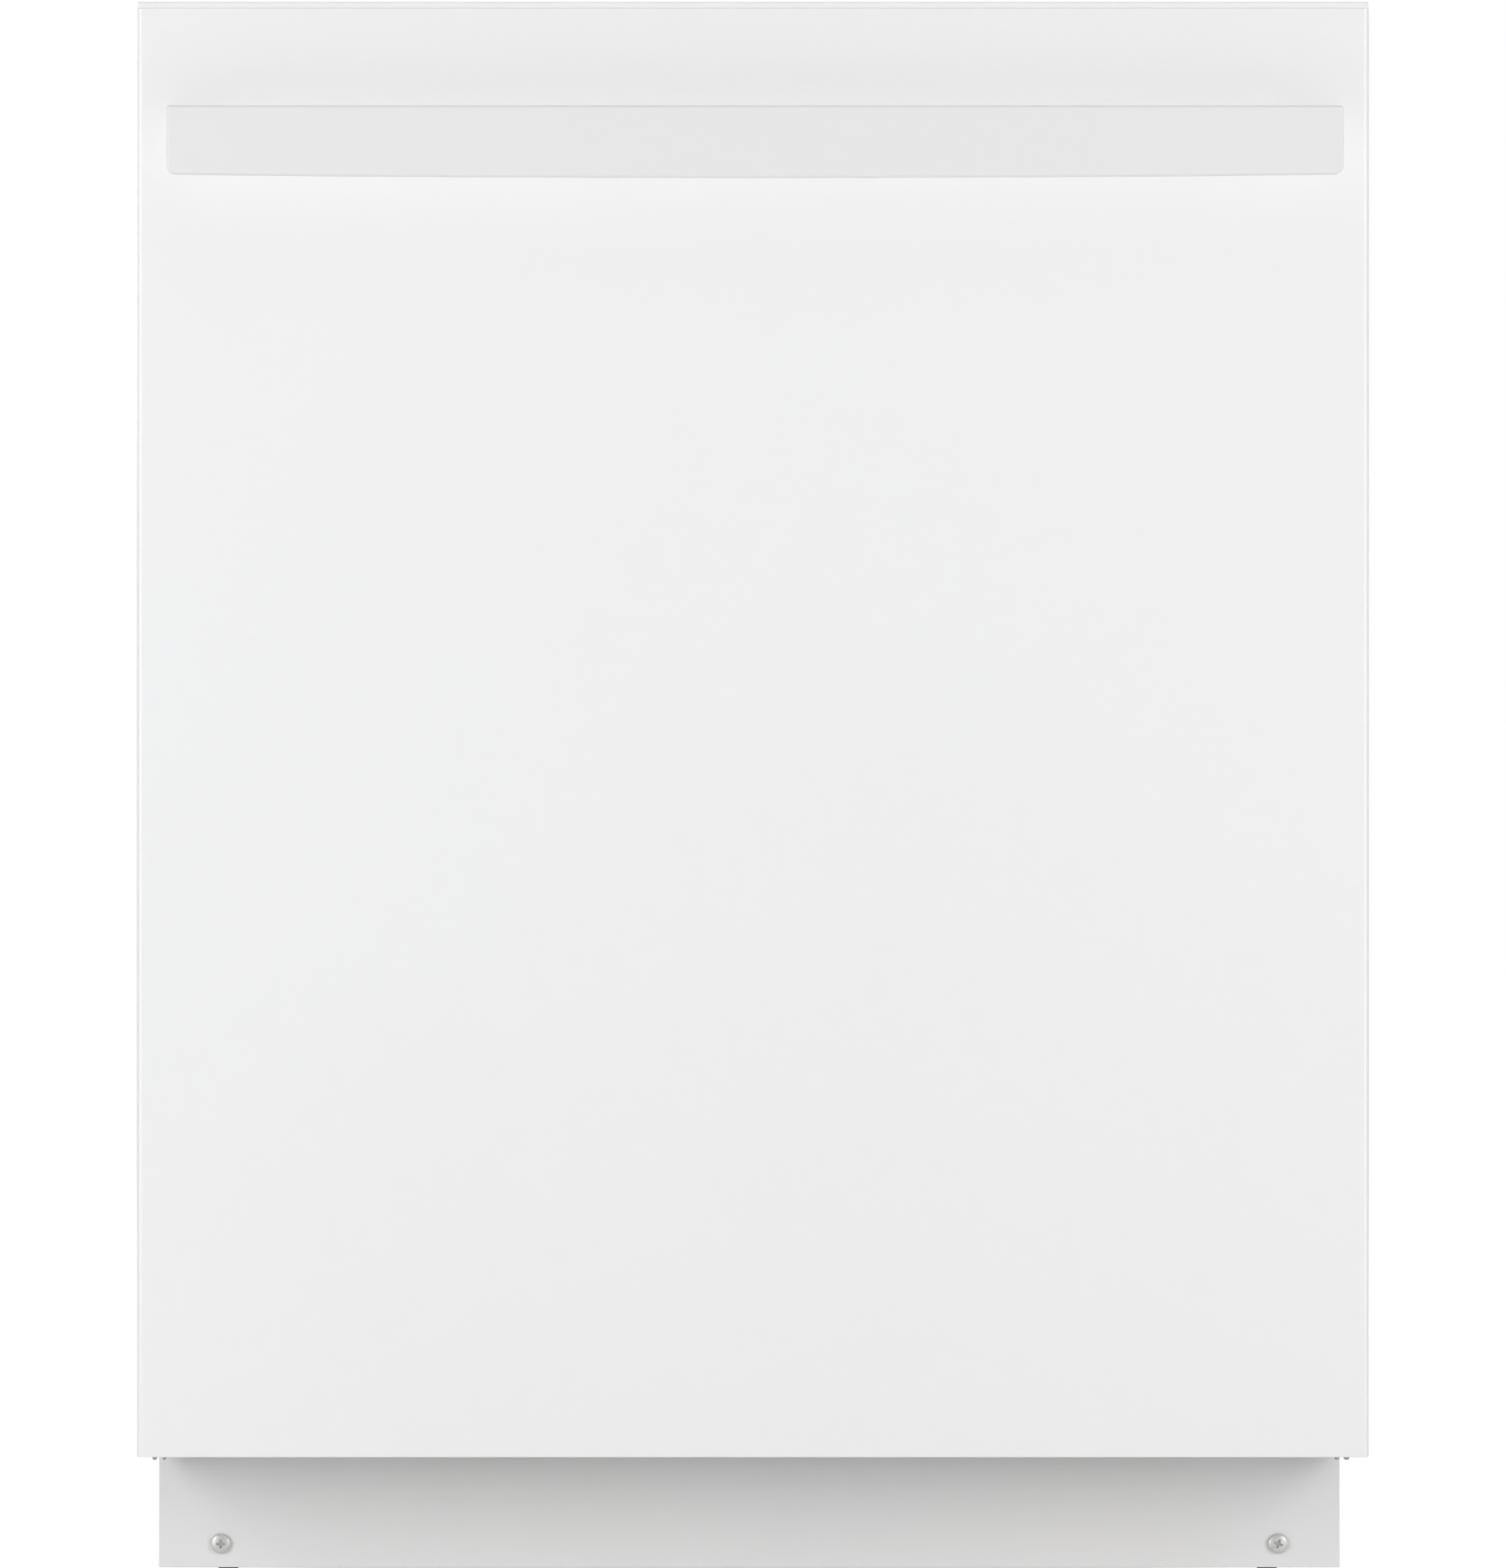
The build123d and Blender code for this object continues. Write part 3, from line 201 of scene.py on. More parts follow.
def brushed(name, colour, stretch, roughness=0.3, dark=(0.36, 0.36, 0.355)):
    """Rolled stainless sheet with fine lines across its grain, water marks and finger shade."""
    s = Surface(name, colour, roughness, metallic=1.0)
    grain = s.noise(600, 3, stretch=stretch)
    s.tint(s.fit(grain, 0.35, 0.7, 0.0, 0.30), dark)
    s.tint(s.fit(s.noise(7, 4, distortion=0.8), 0.48, 0.74, 0.0, 0.30), (0.78, 0.77, 0.74))
    s.tint(s.fit(s.cells(34, feature="DISTANCE_TO_EDGE"), 0.0, 0.02, 0.06, 0.0), (0.82, 0.83, 0.83))
    smudge = s.math("ADD", s.math("MULTIPLY", grain, 0.5), s.math("MULTIPLY", s.noise(12, 4), 0.5))
    s.rough(smudge, 0.35, 0.66, roughness - 0.07, roughness + 0.13)
    s.bump(grain, 0.02, 0.35)
    s.bump(s.noise(5, 2), 0.8, 0.15)
    return s


def zinc(name):
    """Galvanised sheet: soft crystal spangle, dull sheen and a little white rust."""
    s = Surface(name, (0.56, 0.57, 0.58), 0.42, metallic=0.9)
    spangle = s.cells(160, output="Color")
    grey = s.add("ShaderNodeRGBToBW")
    s.join(spangle, grey.inputs["Color"])
    s.tint(s.fit(grey.outputs["Val"], 0.2, 0.8, 0.0, 0.38), (0.36, 0.38, 0.41))
    s.tint(s.fit(s.noise(24, 5), 0.56, 0.74, 0.0, 0.35), (0.76, 0.76, 0.74))
    s.rough(grey.outputs["Val"], 0.1, 0.9, 0.3, 0.52)
    s.bump(s.noise(240, 3), 0.04, 0.4)
    s.worn_edges(0.5, (0.75, 0.76, 0.77), 0.6)
    return s.material


def plastic(name, colour, dark, light, roughness=0.5, grain=900, depth=0.05):
    """Injection-moulded plastic: fine spark texture, flow marks and paler rubbed edges."""
    s = Surface(name, colour, roughness)
    s.tint(s.fit(s.noise(14, 3, distortion=1.2), 0.4, 0.72, 0.0, 0.45), dark)
    s.tint(s.fit(s.noise(90, 4), 0.6, 0.8, 0.0, 0.3), light)
    s.rough(s.noise(60, 4), 0.3, 0.7, roughness - 0.08, roughness + 0.1)
    s.bump(s.noise(grain, 2), depth, 0.6)
    s.bump(s.noise(40, 2), 0.3, 0.06)
    s.worn_edges(0.5, light, 0.55)
    return s.material


def rubber(name, colour=(0.045, 0.045, 0.047)):
    s = Surface(name, colour, 0.62)
    s.tint(s.fit(s.noise(60, 5), 0.5, 0.75, 0.0, 0.5), (0.09, 0.09, 0.088))
    s.rough(s.noise(120, 3), 0.3, 0.7, 0.5, 0.76)
    s.bump(s.noise(1400, 2), 0.04, 0.5)
    s.bump(s.noise(70, 3), 0.3, 0.12)
    return s.material


def felt(name, colour, light):
    """Needled fibre blanket: matted fibres, needle dimples, lint and sheen."""
    s = Surface(name, colour, 0.95, specular=0.2)
    s.shader.inputs["Sheen Weight"].default_value = 0.45
    s.shader.inputs["Sheen Roughness"].default_value = 0.5
    fibre = s.noise(700, 6, stretch=(1, 0.35, 1), distortion=2.2)
    s.tint(s.fit(fibre, 0.42, 0.66, 0.0, 0.75), light)
    s.tint(s.fit(s.noise(9, 4), 0.45, 0.75, 0.0, 0.5), (colour[0] * 0.6, colour[1] * 0.6, colour[2] * 0.6))
    s.tint(s.fit(s.noise(1800, 2), 0.68, 0.74, 0.0, 0.7), (0.55, 0.54, 0.52))
    s.rough(fibre, 0.3, 0.7, 0.86, 1.0)
    s.bump(fibre, 0.8, 0.8)
    s.bump(s.cells(260), 0.7, 0.5)
    return s.material


def nylon_coat(name):
    """Fluidised nylon coating on rack wire: soft gloss with faint ripple."""
    s = Surface(name, (0.47, 0.50, 0.53), 0.32, coat=0.2)
    s.tint(s.fit(s.noise(30, 3), 0.45, 0.75, 0.0, 0.4), (0.38, 0.41, 0.44))
    s.tint(s.fit(s.noise(260, 3), 0.62, 0.8, 0.0, 0.35), (0.62, 0.64, 0.66))
    s.rough(s.noise(110, 3), 0.3, 0.7, 0.25, 0.42)
    s.bump(s.noise(330, 2), 0.12, 0.35)
    return s.material


WHITE = enamel("white_enamel", (0.865, 0.868, 0.872), (0.868, 0.858, 0.848), (0.85, 0.862, 0.88))
HANDLE_WHITE = enamel("handle_enamel", (0.795, 0.792, 0.794), (0.80, 0.785, 0.782), (0.78, 0.788, 0.80))
TOE_WHITE = enamel("toe_kick_enamel", (0.83, 0.828, 0.825), (0.83, 0.815, 0.80), (0.80, 0.81, 0.825))
GLOSS_MOULD = {"grain": 1200, "depth": 0.02}
CONSOLE_WHITE = plastic(
    "console_white", (0.86, 0.862, 0.865), (0.84, 0.835, 0.825), (0.9, 0.9, 0.9), 0.36, **GLOSS_MOULD
)
BUTTON_WHITE = plastic(
    "button_white", (0.74, 0.75, 0.76), (0.7, 0.7, 0.7), (0.82, 0.82, 0.82), 0.4, **GLOSS_MOULD
)
ZINC = zinc("galvanised_steel")
GREY = plastic("grey_polypropylene", (0.30, 0.315, 0.33), (0.24, 0.25, 0.265), (0.42, 0.43, 0.44), 0.46)
BLACK = plastic("black_polypropylene", (0.028, 0.028, 0.03), (0.018, 0.018, 0.02), (0.075, 0.075, 0.08), 0.5)
LIGHT = plastic("light_polypropylene", (0.62, 0.63, 0.64), (0.55, 0.555, 0.56), (0.74, 0.74, 0.74), 0.44)
RUBBER = rubber("black_rubber")
HOSE = rubber("grey_hose", (0.13, 0.13, 0.135))
FELT = felt("sound_felt", (0.115, 0.115, 0.12), (0.27, 0.27, 0.275))
WADDING = felt("door_wadding", (0.42, 0.41, 0.38), (0.6, 0.59, 0.56))
COATED = nylon_coat("nylon_coated_wire")


def tub_steel():
    """Bright stainless, with broad soft waves along the tub's depth."""
    s = brushed("tub_stainless", (0.63, 0.63, 0.62), (0.02, 1, 1), 0.26)
    ribs = s.fit(s.math("ABSOLUTE", s.math("SINE", s.math("MULTIPLY", s.axis("Y"), 34.0), 0), 0), 0.0, 0.35)
    s.bump(ribs, 1.2, 0.35)
    return s.material


def liner_steel():
    """Door liner sheet, brushed across."""
    return brushed("liner_stainless", (0.64, 0.64, 0.63), (0.02, 1, 1), 0.24).material


TUB_STEEL = tub_steel()
LINER_STEEL = liner_steel()
STEEL = brushed("stainless_small", (0.60, 0.60, 0.59), (1, 0.03, 1), 0.28).material


def spring_steel():
    s = Surface("spring_steel", (0.42, 0.42, 0.41), 0.34, metallic=1.0)
    s.tint(s.fit(s.noise(70, 5), 0.45, 0.7, 0.0, 0.6), (0.2, 0.19, 0.18))
    s.tint(s.fit(s.noise(30, 4), 0.62, 0.8, 0.0, 0.5), (0.34, 0.24, 0.16))
    s.rough(s.noise(200, 3), 0.3, 0.7, 0.25, 0.5)
    s.bump(s.noise(900, 2), 0.03, 0.5)
    return s.material


def heater_metal():
    """Sheathed heating element, straw and blue where it runs hottest, chalky scale in patches."""
    s = Surface("heater_sheath", (0.34, 0.33, 0.31), 0.36, metallic=1.0)
    s.tint(s.fit(s.noise(16, 3), 0.42, 0.66, 0.0, 0.75), (0.40, 0.31, 0.20))
    s.tint(s.fit(s.noise(22, 3, distortion=1.0), 0.55, 0.72, 0.0, 0.6), (0.16, 0.18, 0.24))
    s.tint(s.fit(s.noise(140, 5), 0.6, 0.78, 0.0, 0.5), (0.72, 0.71, 0.67))
    s.rough(s.noise(90, 4), 0.3, 0.7, 0.28, 0.6)
    s.bump(s.noise(500, 3), 0.05, 0.5)
    return s.material


def screw_paint():
    s = Surface("screw_finish", (0.66, 0.66, 0.65), 0.38, metallic=0.35, coat=0.15)
    s.tint(s.fit(s.noise(500, 4), 0.5, 0.75, 0.0, 0.5), (0.48, 0.48, 0.47))
    s.rough(s.noise(700, 3), 0.3, 0.7, 0.28, 0.5)
    s.bump(s.noise(1500, 2), 0.02, 0.5)
    s.worn_edges(0.3, (0.42, 0.42, 0.42), 0.6)
    return s.material


def smoked_glass():
    s = Surface("smoked_window", (0.012, 0.012, 0.014), 0.08, coat=0.6, coat_roughness=0.03)
    s.tint(s.fit(s.noise(60, 3), 0.5, 0.75, 0.0, 0.4), (0.03, 0.03, 0.034))
    s.rough(s.noise(45, 4), 0.35, 0.75, 0.05, 0.2)
    s.bump(s.noise(300, 1), 0.01, 0.2)
    return s.material


def circuit_board():
    """Green solder mask with copper traces and pads in a fine lattice."""
    s = Surface("circuit_board", (0.03, 0.13, 0.06), 0.35, coat=0.3)
    traces = s.cells(120, stretch=(1, 1, 0.1), feature="DISTANCE_TO_EDGE")
    s.tint(s.fit(traces, 0.04, 0.02, 0.0, 0.8), (0.07, 0.24, 0.11))
    s.tint(s.fit(s.cells(420), 0.16, 0.12, 0.0, 0.9), (0.72, 0.58, 0.30))
    s.rough(s.noise(120, 3), 0.3, 0.7, 0.28, 0.45)
    s.bump(s.fit(traces, 0.05, 0.02), 0.05, 0.6)
    return s.material


SPRING = spring_steel()
HEATER = heater_metal()
SCREW = screw_paint()
WINDOW = smoked_glass()
BOARD = circuit_board()

FINISH = {
    "door_skin": WHITE,
    "handle": HANDLE_WHITE,
    "toe_kick": TOE_WHITE,
    "toe_kick_screws": SCREW,
    "console": CONSOLE_WHITE,
    "display_window": WINDOW,
    "control_board": BOARD,
    "door_liner": LINER_STEEL,
    "tub": TUB_STEEL,
    "tub_frame": STEEL,
    "door_seal": RUBBER,
    "door_bottom_seal": RUBBER,
    "sound_blanket": FELT,
    "door_insulation": WADDING,
    "door_vent": GREY,
    "dispenser_body": GREY,
    "dispenser_lid": LIGHT,
    "rinse_aid_cap": LIGHT,
    "latch_housing": BLACK,
    "latch_pawl": ZINC,
    "hinge_arms": ZINC,
    "hinge_brackets": ZINC,
    "spring_hooks": ZINC,
    "balance_springs": SPRING,
    "balance_cables": SPRING,
    "base_frame": BLACK,
    "drip_tray": BLACK,
    "front_feet": BLACK,
    "rear_feet": BLACK,
    "sump": GREY,
    "fine_filter": STEEL,
    "twist_filter": GREY,
    "lower_arm_hub": GREY,
    "lower_spray_arm": GREY,
    "middle_spray_arm": GREY,
    "top_spray_arm": GREY,
    "middle_arm_feed": GREY,
    "riser": GREY,
    "heating_element": HEATER,
    "circulation_pump": BLACK,
    "drain_pump": LIGHT,
    "inner_hoses": HOSE,
    "drain_outlet": BLACK,
    "inlet_valve": LIGHT,
    "junction_box": ZINC,
    "float": LIGHT,
    "upper_rack": COATED,
    "lower_rack": COATED,
    "silverware_basket": GREY,
    "rack_tracks": STEEL,
    "upper_wheels_front": GREY,
    "upper_wheels_rear": GREY,
    "lower_wheels_front": GREY,
    "lower_wheels_rear": GREY,
    "tub_wheels": GREY,
}
for name in NODES:
    if name.startswith("button_"):
        FINISH[name] = BUTTON_WHITE


# ---------------------------------------------------------------- CAD nodes: finish and soft edges
def soften(obj, width_mm, segments=2, limit_deg=32):
    """Welds the seams of the imported mesh, joins flat triangles and rounds its edges a little."""
    weld = obj.modifiers.new("weld", "WELD")
    weld.merge_threshold = 0.00002
    flat = obj.modifiers.new("flat", "DECIMATE")
    flat.decimate_type = "DISSOLVE"
    flat.angle_limit = math.radians(0.6)
    bevel = obj.modifiers.new("edge", "BEVEL")
    bevel.width = width_mm * MM
    bevel.segments = segments
    bevel.limit_method = "ANGLE"
    bevel.angle_limit = math.radians(limit_deg)
    bevel.use_clamp_overlap = False
    normals = obj.modifiers.new("normals", "WEIGHTED_NORMAL")
    normals.keep_sharp = True


EDGE_MM = {"console": 0.35, "dispenser_body": 0.8}
PANEL_NODES = ("door_liner", "tub", "tub_frame", "door_seal", "base_frame", "rack_tracks", "riser")
for name, obj in NODES.items():
    mesh = obj.data
    mesh.materials.clear()
    mesh.materials.append(FINISH[name])
    if name in PANEL_NODES:
        continue  # folded from panels that share faces: the imported normals are already right
    if "custom_normal" in mesh.attributes:
        mesh.attributes.remove(mesh.attributes["custom_normal"])
    for polygon in mesh.polygons:
        polygon.use_smooth = True
    soften(obj, EDGE_MM.get(name, 0.3))


# ---------------------------------------------------------------- mesh tools
def finished(name, shape, material, body, *nodes):
    """Turns a bmesh into a piece that rides on a body and may stand for CAD nodes."""
    bmesh.ops.recalc_face_normals(shape, faces=shape.faces)
    mesh = bpy.data.meshes.new(name)
    shape.to_mesh(mesh)
    shape.free()
    mesh.materials.append(material)
    obj = bpy.data.objects.new(name, mesh)
    bpy.context.scene.collection.objects.link(obj)
    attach(obj, body)
    if nodes:
        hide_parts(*nodes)
    return obj


def rounded(obj, width_mm, segments=3, limit_deg=35):
    """Soft edges on a piece, with flat faces kept flat."""
    for polygon in obj.data.polygons:
        polygon.use_smooth = True
    bevel = obj.modifiers.new("edge", "BEVEL")
    bevel.width = width_mm * MM
    bevel.segments = segments
    bevel.limit_method = "ANGLE"
    bevel.angle_limit = math.radians(limit_deg)
    bevel.use_clamp_overlap = False
    normals = obj.modifiers.new("normals", "WEIGHTED_NORMAL")
    normals.keep_sharp = True
    return obj


def slab(shape, low, high):
    """Adds a box between two corners."""
    made = bmesh.ops.create_cube(shape, size=1.0)["verts"]
    for vert in made:
        for i in range(3):
            vert.co[i] = low[i] if vert.co[i] < 0 else high[i]
    return made


def lathe(shape, profile, centre, axis, steps=48):
    """Turns a profile of (distance along the axis, radius) points about an axis through a centre."""
    axis = Vector(axis).normalized()
    turn = axis.to_track_quat("Z", "Y").to_matrix()
    rings = []
    for along, radius in profile:
        if radius < 1e-7:
            rings.append([shape.verts.new(Vector(centre) + axis * along)])
            continue
        ring = []
        for i in range(steps):
            angle = 2 * math.pi * i / steps
            spot = turn @ Vector((radius * math.cos(angle), radius * math.sin(angle), along))
            ring.append(shape.verts.new(Vector(centre) + spot))
        rings.append(ring)
    for lower, upper in zip(rings, rings[1:]):
        for i in range(steps):
            j = (i + 1) % steps
            corners = [lower[i % len(lower)], lower[j % len(lower)]]
            corners += [upper[j % len(upper)], upper[i % len(upper)]]
            unique = list(dict.fromkeys(corners))
            if len(unique) > 2:
                shape.faces.new(unique)
    return rings


def ring_lathe(shape, profile, centre, axis, steps=48):
    """A lathe whose profile closes on itself, for tubes and tyres."""
    return lathe(shape, [*profile, profile[0]], centre, axis, steps)


def outline(points, radii, steps=8):
    """A closed outline in the plane, each corner rounded by its own radius."""
    rounded_points = []
    count = len(points)
    for i in range(count):
        here = Vector(points[i])
        to_last = (Vector(points[i - 1]) - here).normalized()
        to_next = (Vector(points[(i + 1) % count]) - here).normalized()
        radius = radii[i]
        if radius <= 0:
            rounded_points.append(here)
            continue
        half = math.acos(max(-1.0, min(1.0, to_last.dot(to_next)))) / 2
        reach = radius / math.tan(half)
        middle = here + (to_last + to_next).normalized() * (radius / math.sin(half))
        start = here + to_last * reach - middle
        end = here + to_next * reach - middle
        angle = start.angle_signed(end)
        for k in range(steps + 1):
            spot = start.copy()
            spot.rotate(Matrix.Rotation(-angle * k / steps, 2))
            rounded_points.append(middle + spot)
    return rounded_points


def prism(shape, points, place, depth):
    """Extrudes a closed outline. place turns a 2-D point and a depth into a position."""
    near = [shape.verts.new(place(p, 0.0)) for p in points]
    far = [shape.verts.new(place(p, depth)) for p in points]
    shape.faces.new(near)
    shape.faces.new(list(reversed(far)))
    count = len(points)
    for i in range(count):
        j = (i + 1) % count
        shape.faces.new((near[i], near[j], far[j], far[i]))


def wires(name, paths, radius, material, body, *nodes, closed=(), tips=()):
    """Round wires in one curve object. Paths in tips end in a small dome."""
    curve = bpy.data.curves.new(name, "CURVE")
    curve.dimensions = "3D"
    curve.bevel_depth = radius
    curve.bevel_resolution = 3
    curve.use_fill_caps = True
    for number, path in enumerate(paths):
        spots = [Vector(p) for p in path]
        sizes = [1.0] * len(spots)
        if number in tips:
            way = (spots[-1] - spots[-2]).normalized()
            end = spots.pop()
            sizes.pop()
            for share in (0.0, 0.5, 0.85, 1.0):
                spots.append(end - way * radius * (1 - share))
                sizes.append(max(0.02, math.sqrt(1 - share * share)))
        spline = curve.splines.new("POLY")
        spline.points.add(len(spots) - 1)
        for point, spot, size in zip(spline.points, spots, sizes):
            point.co = (*spot, 1.0)
            point.radius = size
        spline.use_cyclic_u = number in closed
        spline.use_smooth = True
    curve.materials.append(material)
    obj = bpy.data.objects.new(name, curve)
    bpy.context.scene.collection.objects.link(obj)
    if body:
        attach(obj, body)
    if nodes:
        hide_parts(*nodes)
    return obj


def bent(points, radius, steps=6, closed=False):
    """A path with each inner corner turned into an arc."""
    spots = [Vector(p) for p in points]
    count = len(spots)
    path = []
    for i in range(count):
        if not closed and i in (0, count - 1):
            path.append(spots[i])
            continue
        here = spots[i]
        back = spots[i - 1] - here
        ahead = spots[(i + 1) % count] - here
        cut = min(radius, back.length * 0.45, ahead.length * 0.45)
        start = here + back.normalized() * cut
        end = here + ahead.normalized() * cut
        for k in range(steps + 1):
            t = k / steps
            path.append(start * (1 - t) ** 2 + here * 2 * t * (1 - t) + end * t**2)
    return path


def carve(obj, tool_shape, self_crossing=False):
    """Cuts a bmesh out of a piece for good."""
    tool_mesh = bpy.data.meshes.new("tool")
    tool_shape.to_mesh(tool_mesh)
    tool_shape.free()
    tool = bpy.data.objects.new("tool", tool_mesh)
    bpy.context.scene.collection.objects.link(tool)
    cut = obj.modifiers.new("cut", "BOOLEAN")
    cut.operation = "DIFFERENCE"
    cut.object = tool
    cut.use_self = self_crossing
    bpy.context.view_layer.update()
    graph = bpy.context.evaluated_depsgraph_get()
    carved = bpy.data.meshes.new_from_object(obj.evaluated_get(graph))
    obj.modifiers.clear()
    obj.data = carved
    bpy.data.objects.remove(tool)


# ---------------------------------------------------------------- door skin, handle, toe kick, screws
skin_low, skin_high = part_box("door_skin")
SHEET = 1.0 * MM
NOTCH_INSET = 16.5 * MM
NOTCH_FRONT = 14.0 * MM
shape = bmesh.new()
plan = outline(
    [
        (skin_low.x, skin_high.y),
        (skin_low.x, skin_low.y),
        (skin_high.x, skin_low.y),
        (skin_high.x, skin_high.y),
    ],
    [0, 3.0 * MM, 3.0 * MM, 0],
    10,
)
upright = []
for z in (skin_low.z, skin_high.z):
    upright.append([shape.verts.new((p.x, p.y, z)) for p in plan])
for i in range(len(plan) - 1):
    shape.faces.new((upright[0][i], upright[0][i + 1], upright[1][i + 1], upright[1][i]))
notch_x = skin_high.x - NOTCH_INSET
bottom = [shape.verts.new((x, skin_high.y, skin_low.z)) for x in (-notch_x, notch_x)]
notch_y = skin_low.y + NOTCH_FRONT
inner = [shape.verts.new((x, notch_y, skin_low.z)) for x in (-notch_x, notch_x)]
side_l = shape.verts.new((skin_low.x, notch_y, skin_low.z))
side_r = shape.verts.new((skin_high.x, notch_y, skin_low.z))
front_row = upright[0][1:-1]
shape.faces.new([side_l, *front_row, side_r, inner[1], bottom[1], bottom[0], inner[0]])
skin = finished("door_outer_panel", shape, WHITE, "door", "door_skin")
for polygon in skin.data.polygons:
    polygon.use_smooth = True
solid = skin.modifiers.new("sheet", "SOLIDIFY")
solid.thickness = SHEET
solid.offset = -1
rounded(skin, 0.45, 3)

bar_low, bar_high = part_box("handle")
HANDLE_SAG = 1.6 * MM  # the bar's lower edge bows down this far at its middle
HANDLE_END_Z = bar_low.z + HANDLE_SAG
HANDLE_POST = 15.0 * MM
GRIP_GAP = 33.0 * MM
UPPER_CORNER = 1.4 * MM
LOWER_CORNER = 4.2 * MM
CORNER_STEPS = 8
SAG_STEPS = 24
shape = bmesh.new()
half = bar_high.x
sag = []
for i in range(1, SAG_STEPS):
    share = 1 - 2 * i / SAG_STEPS
    if abs(half * share) < half - 6 * MM:
        sag.append(Vector((half * share, HANDLE_END_Z - HANDLE_SAG * (1 - share**2))))
corners = outline(
    [(-half, bar_high.z), (half, bar_high.z), (half, HANDLE_END_Z), (-half, HANDLE_END_Z)],
    [UPPER_CORNER, UPPER_CORNER, LOWER_CORNER, LOWER_CORNER],
    CORNER_STEPS,
)
split = 3 * (CORNER_STEPS + 1)
profile = corners[:split] + sag + corners[split:]
prism(shape, profile, lambda p, d: Vector((p.x, bar_low.y + d, p.y)), skin_low.y - bar_low.y)
handle = finished("bar_handle", shape, HANDLE_WHITE, "door", "handle")
cutter_shape = bmesh.new()
clear_x = half + 5 * MM
clear_z = 20 * MM
post_z = HANDLE_END_Z + 5 * MM
post_x = half - HANDLE_POST
grip = [
    (-clear_x, bar_low.z - clear_z),
    (clear_x, bar_low.z - clear_z),
    (clear_x, post_z),
    (post_x, post_z),
    (post_x, bar_high.z + clear_z),
    (-post_x, bar_high.z + clear_z),
    (-post_x, post_z),
    (-clear_x, post_z),
]
grip_y = skin_low.y - GRIP_GAP
prism(cutter_shape, grip, lambda p, d: Vector((p[0], grip_y + d, p[1])), GRIP_GAP + 20 * MM)
bmesh.ops.recalc_face_normals(cutter_shape, faces=cutter_shape.faces)
carve(handle, cutter_shape)
rounded(handle, 1.3, 4, 40)
handle.visible_shadow = False

toe_low, toe_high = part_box("toe_kick")
shape = bmesh.new()
slab(shape, (toe_low.x, toe_low.y, toe_low.z), (toe_high.x, toe_low.y + 1.2 * MM, toe_high.z))
rounded(finished("toe_panel", shape, TOE_WHITE, "cabinet", "toe_kick"), 0.5, 3)

screw_low, screw_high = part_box("toe_kick_screws")
RIGHT_SCREW_TURN = 17.0  # degrees
HEAD_R = (screw_high.z - screw_low.z) / 2
HEAD_H = toe_low.y - screw_low.y
screw_z = (screw_low.z + screw_high.z) / 2
for side, label, turn in ((-1, "left", 0.0), (1, "right", RIGHT_SCREW_TURN)):
    x = side * (screw_high.x - HEAD_R)
    shape = bmesh.new()
    dome = [(0.0, 0.0), (0.0, HEAD_R - 0.6 * MM), (0.5 * MM, HEAD_R - 0.4 * MM), (0.8 * MM, HEAD_R)]
    for angle in (0.2, 0.45, 0.7, 0.95, 1.2, 1.4):
        dome.append((HEAD_H * (0.45 + 0.55 * math.sin(angle)), HEAD_R * math.cos(angle)))
    dome.append((HEAD_H, 0.0))
    lathe(shape, dome, (x, toe_low.y, screw_z), (0, -1, 0), 56)
    head = finished(f"toe_screw_{label}", shape, SCREW, "cabinet", "toe_kick_screws")
    for polygon in head.data.polygons:
        polygon.use_smooth = True
    tool_shape = bmesh.new()
    for angle in (0, 90):
        arm = slab(tool_shape, (-2.1 * MM, -1.6 * MM, -0.5 * MM), (2.1 * MM, 1.6 * MM, 0.5 * MM))
        spin = Matrix.Rotation(math.radians(turn + angle), 4, "Y")
        spot = Matrix.Translation((x, toe_low.y - HEAD_H, screw_z))
        bmesh.ops.transform(tool_shape, matrix=spot @ spin, verts=arm)
    carve(head, tool_shape, self_crossing=True)
    rounded(head, 0.12, 2, 40)


# ---------------------------------------------------------------- sound blankets and door insulation
FELT_CELL = 9.0 * MM
FELT_ROLL = 9.0 * MM
FELT_FRAY = 1.3 * MM
FELT_GAP = 0.5 * MM


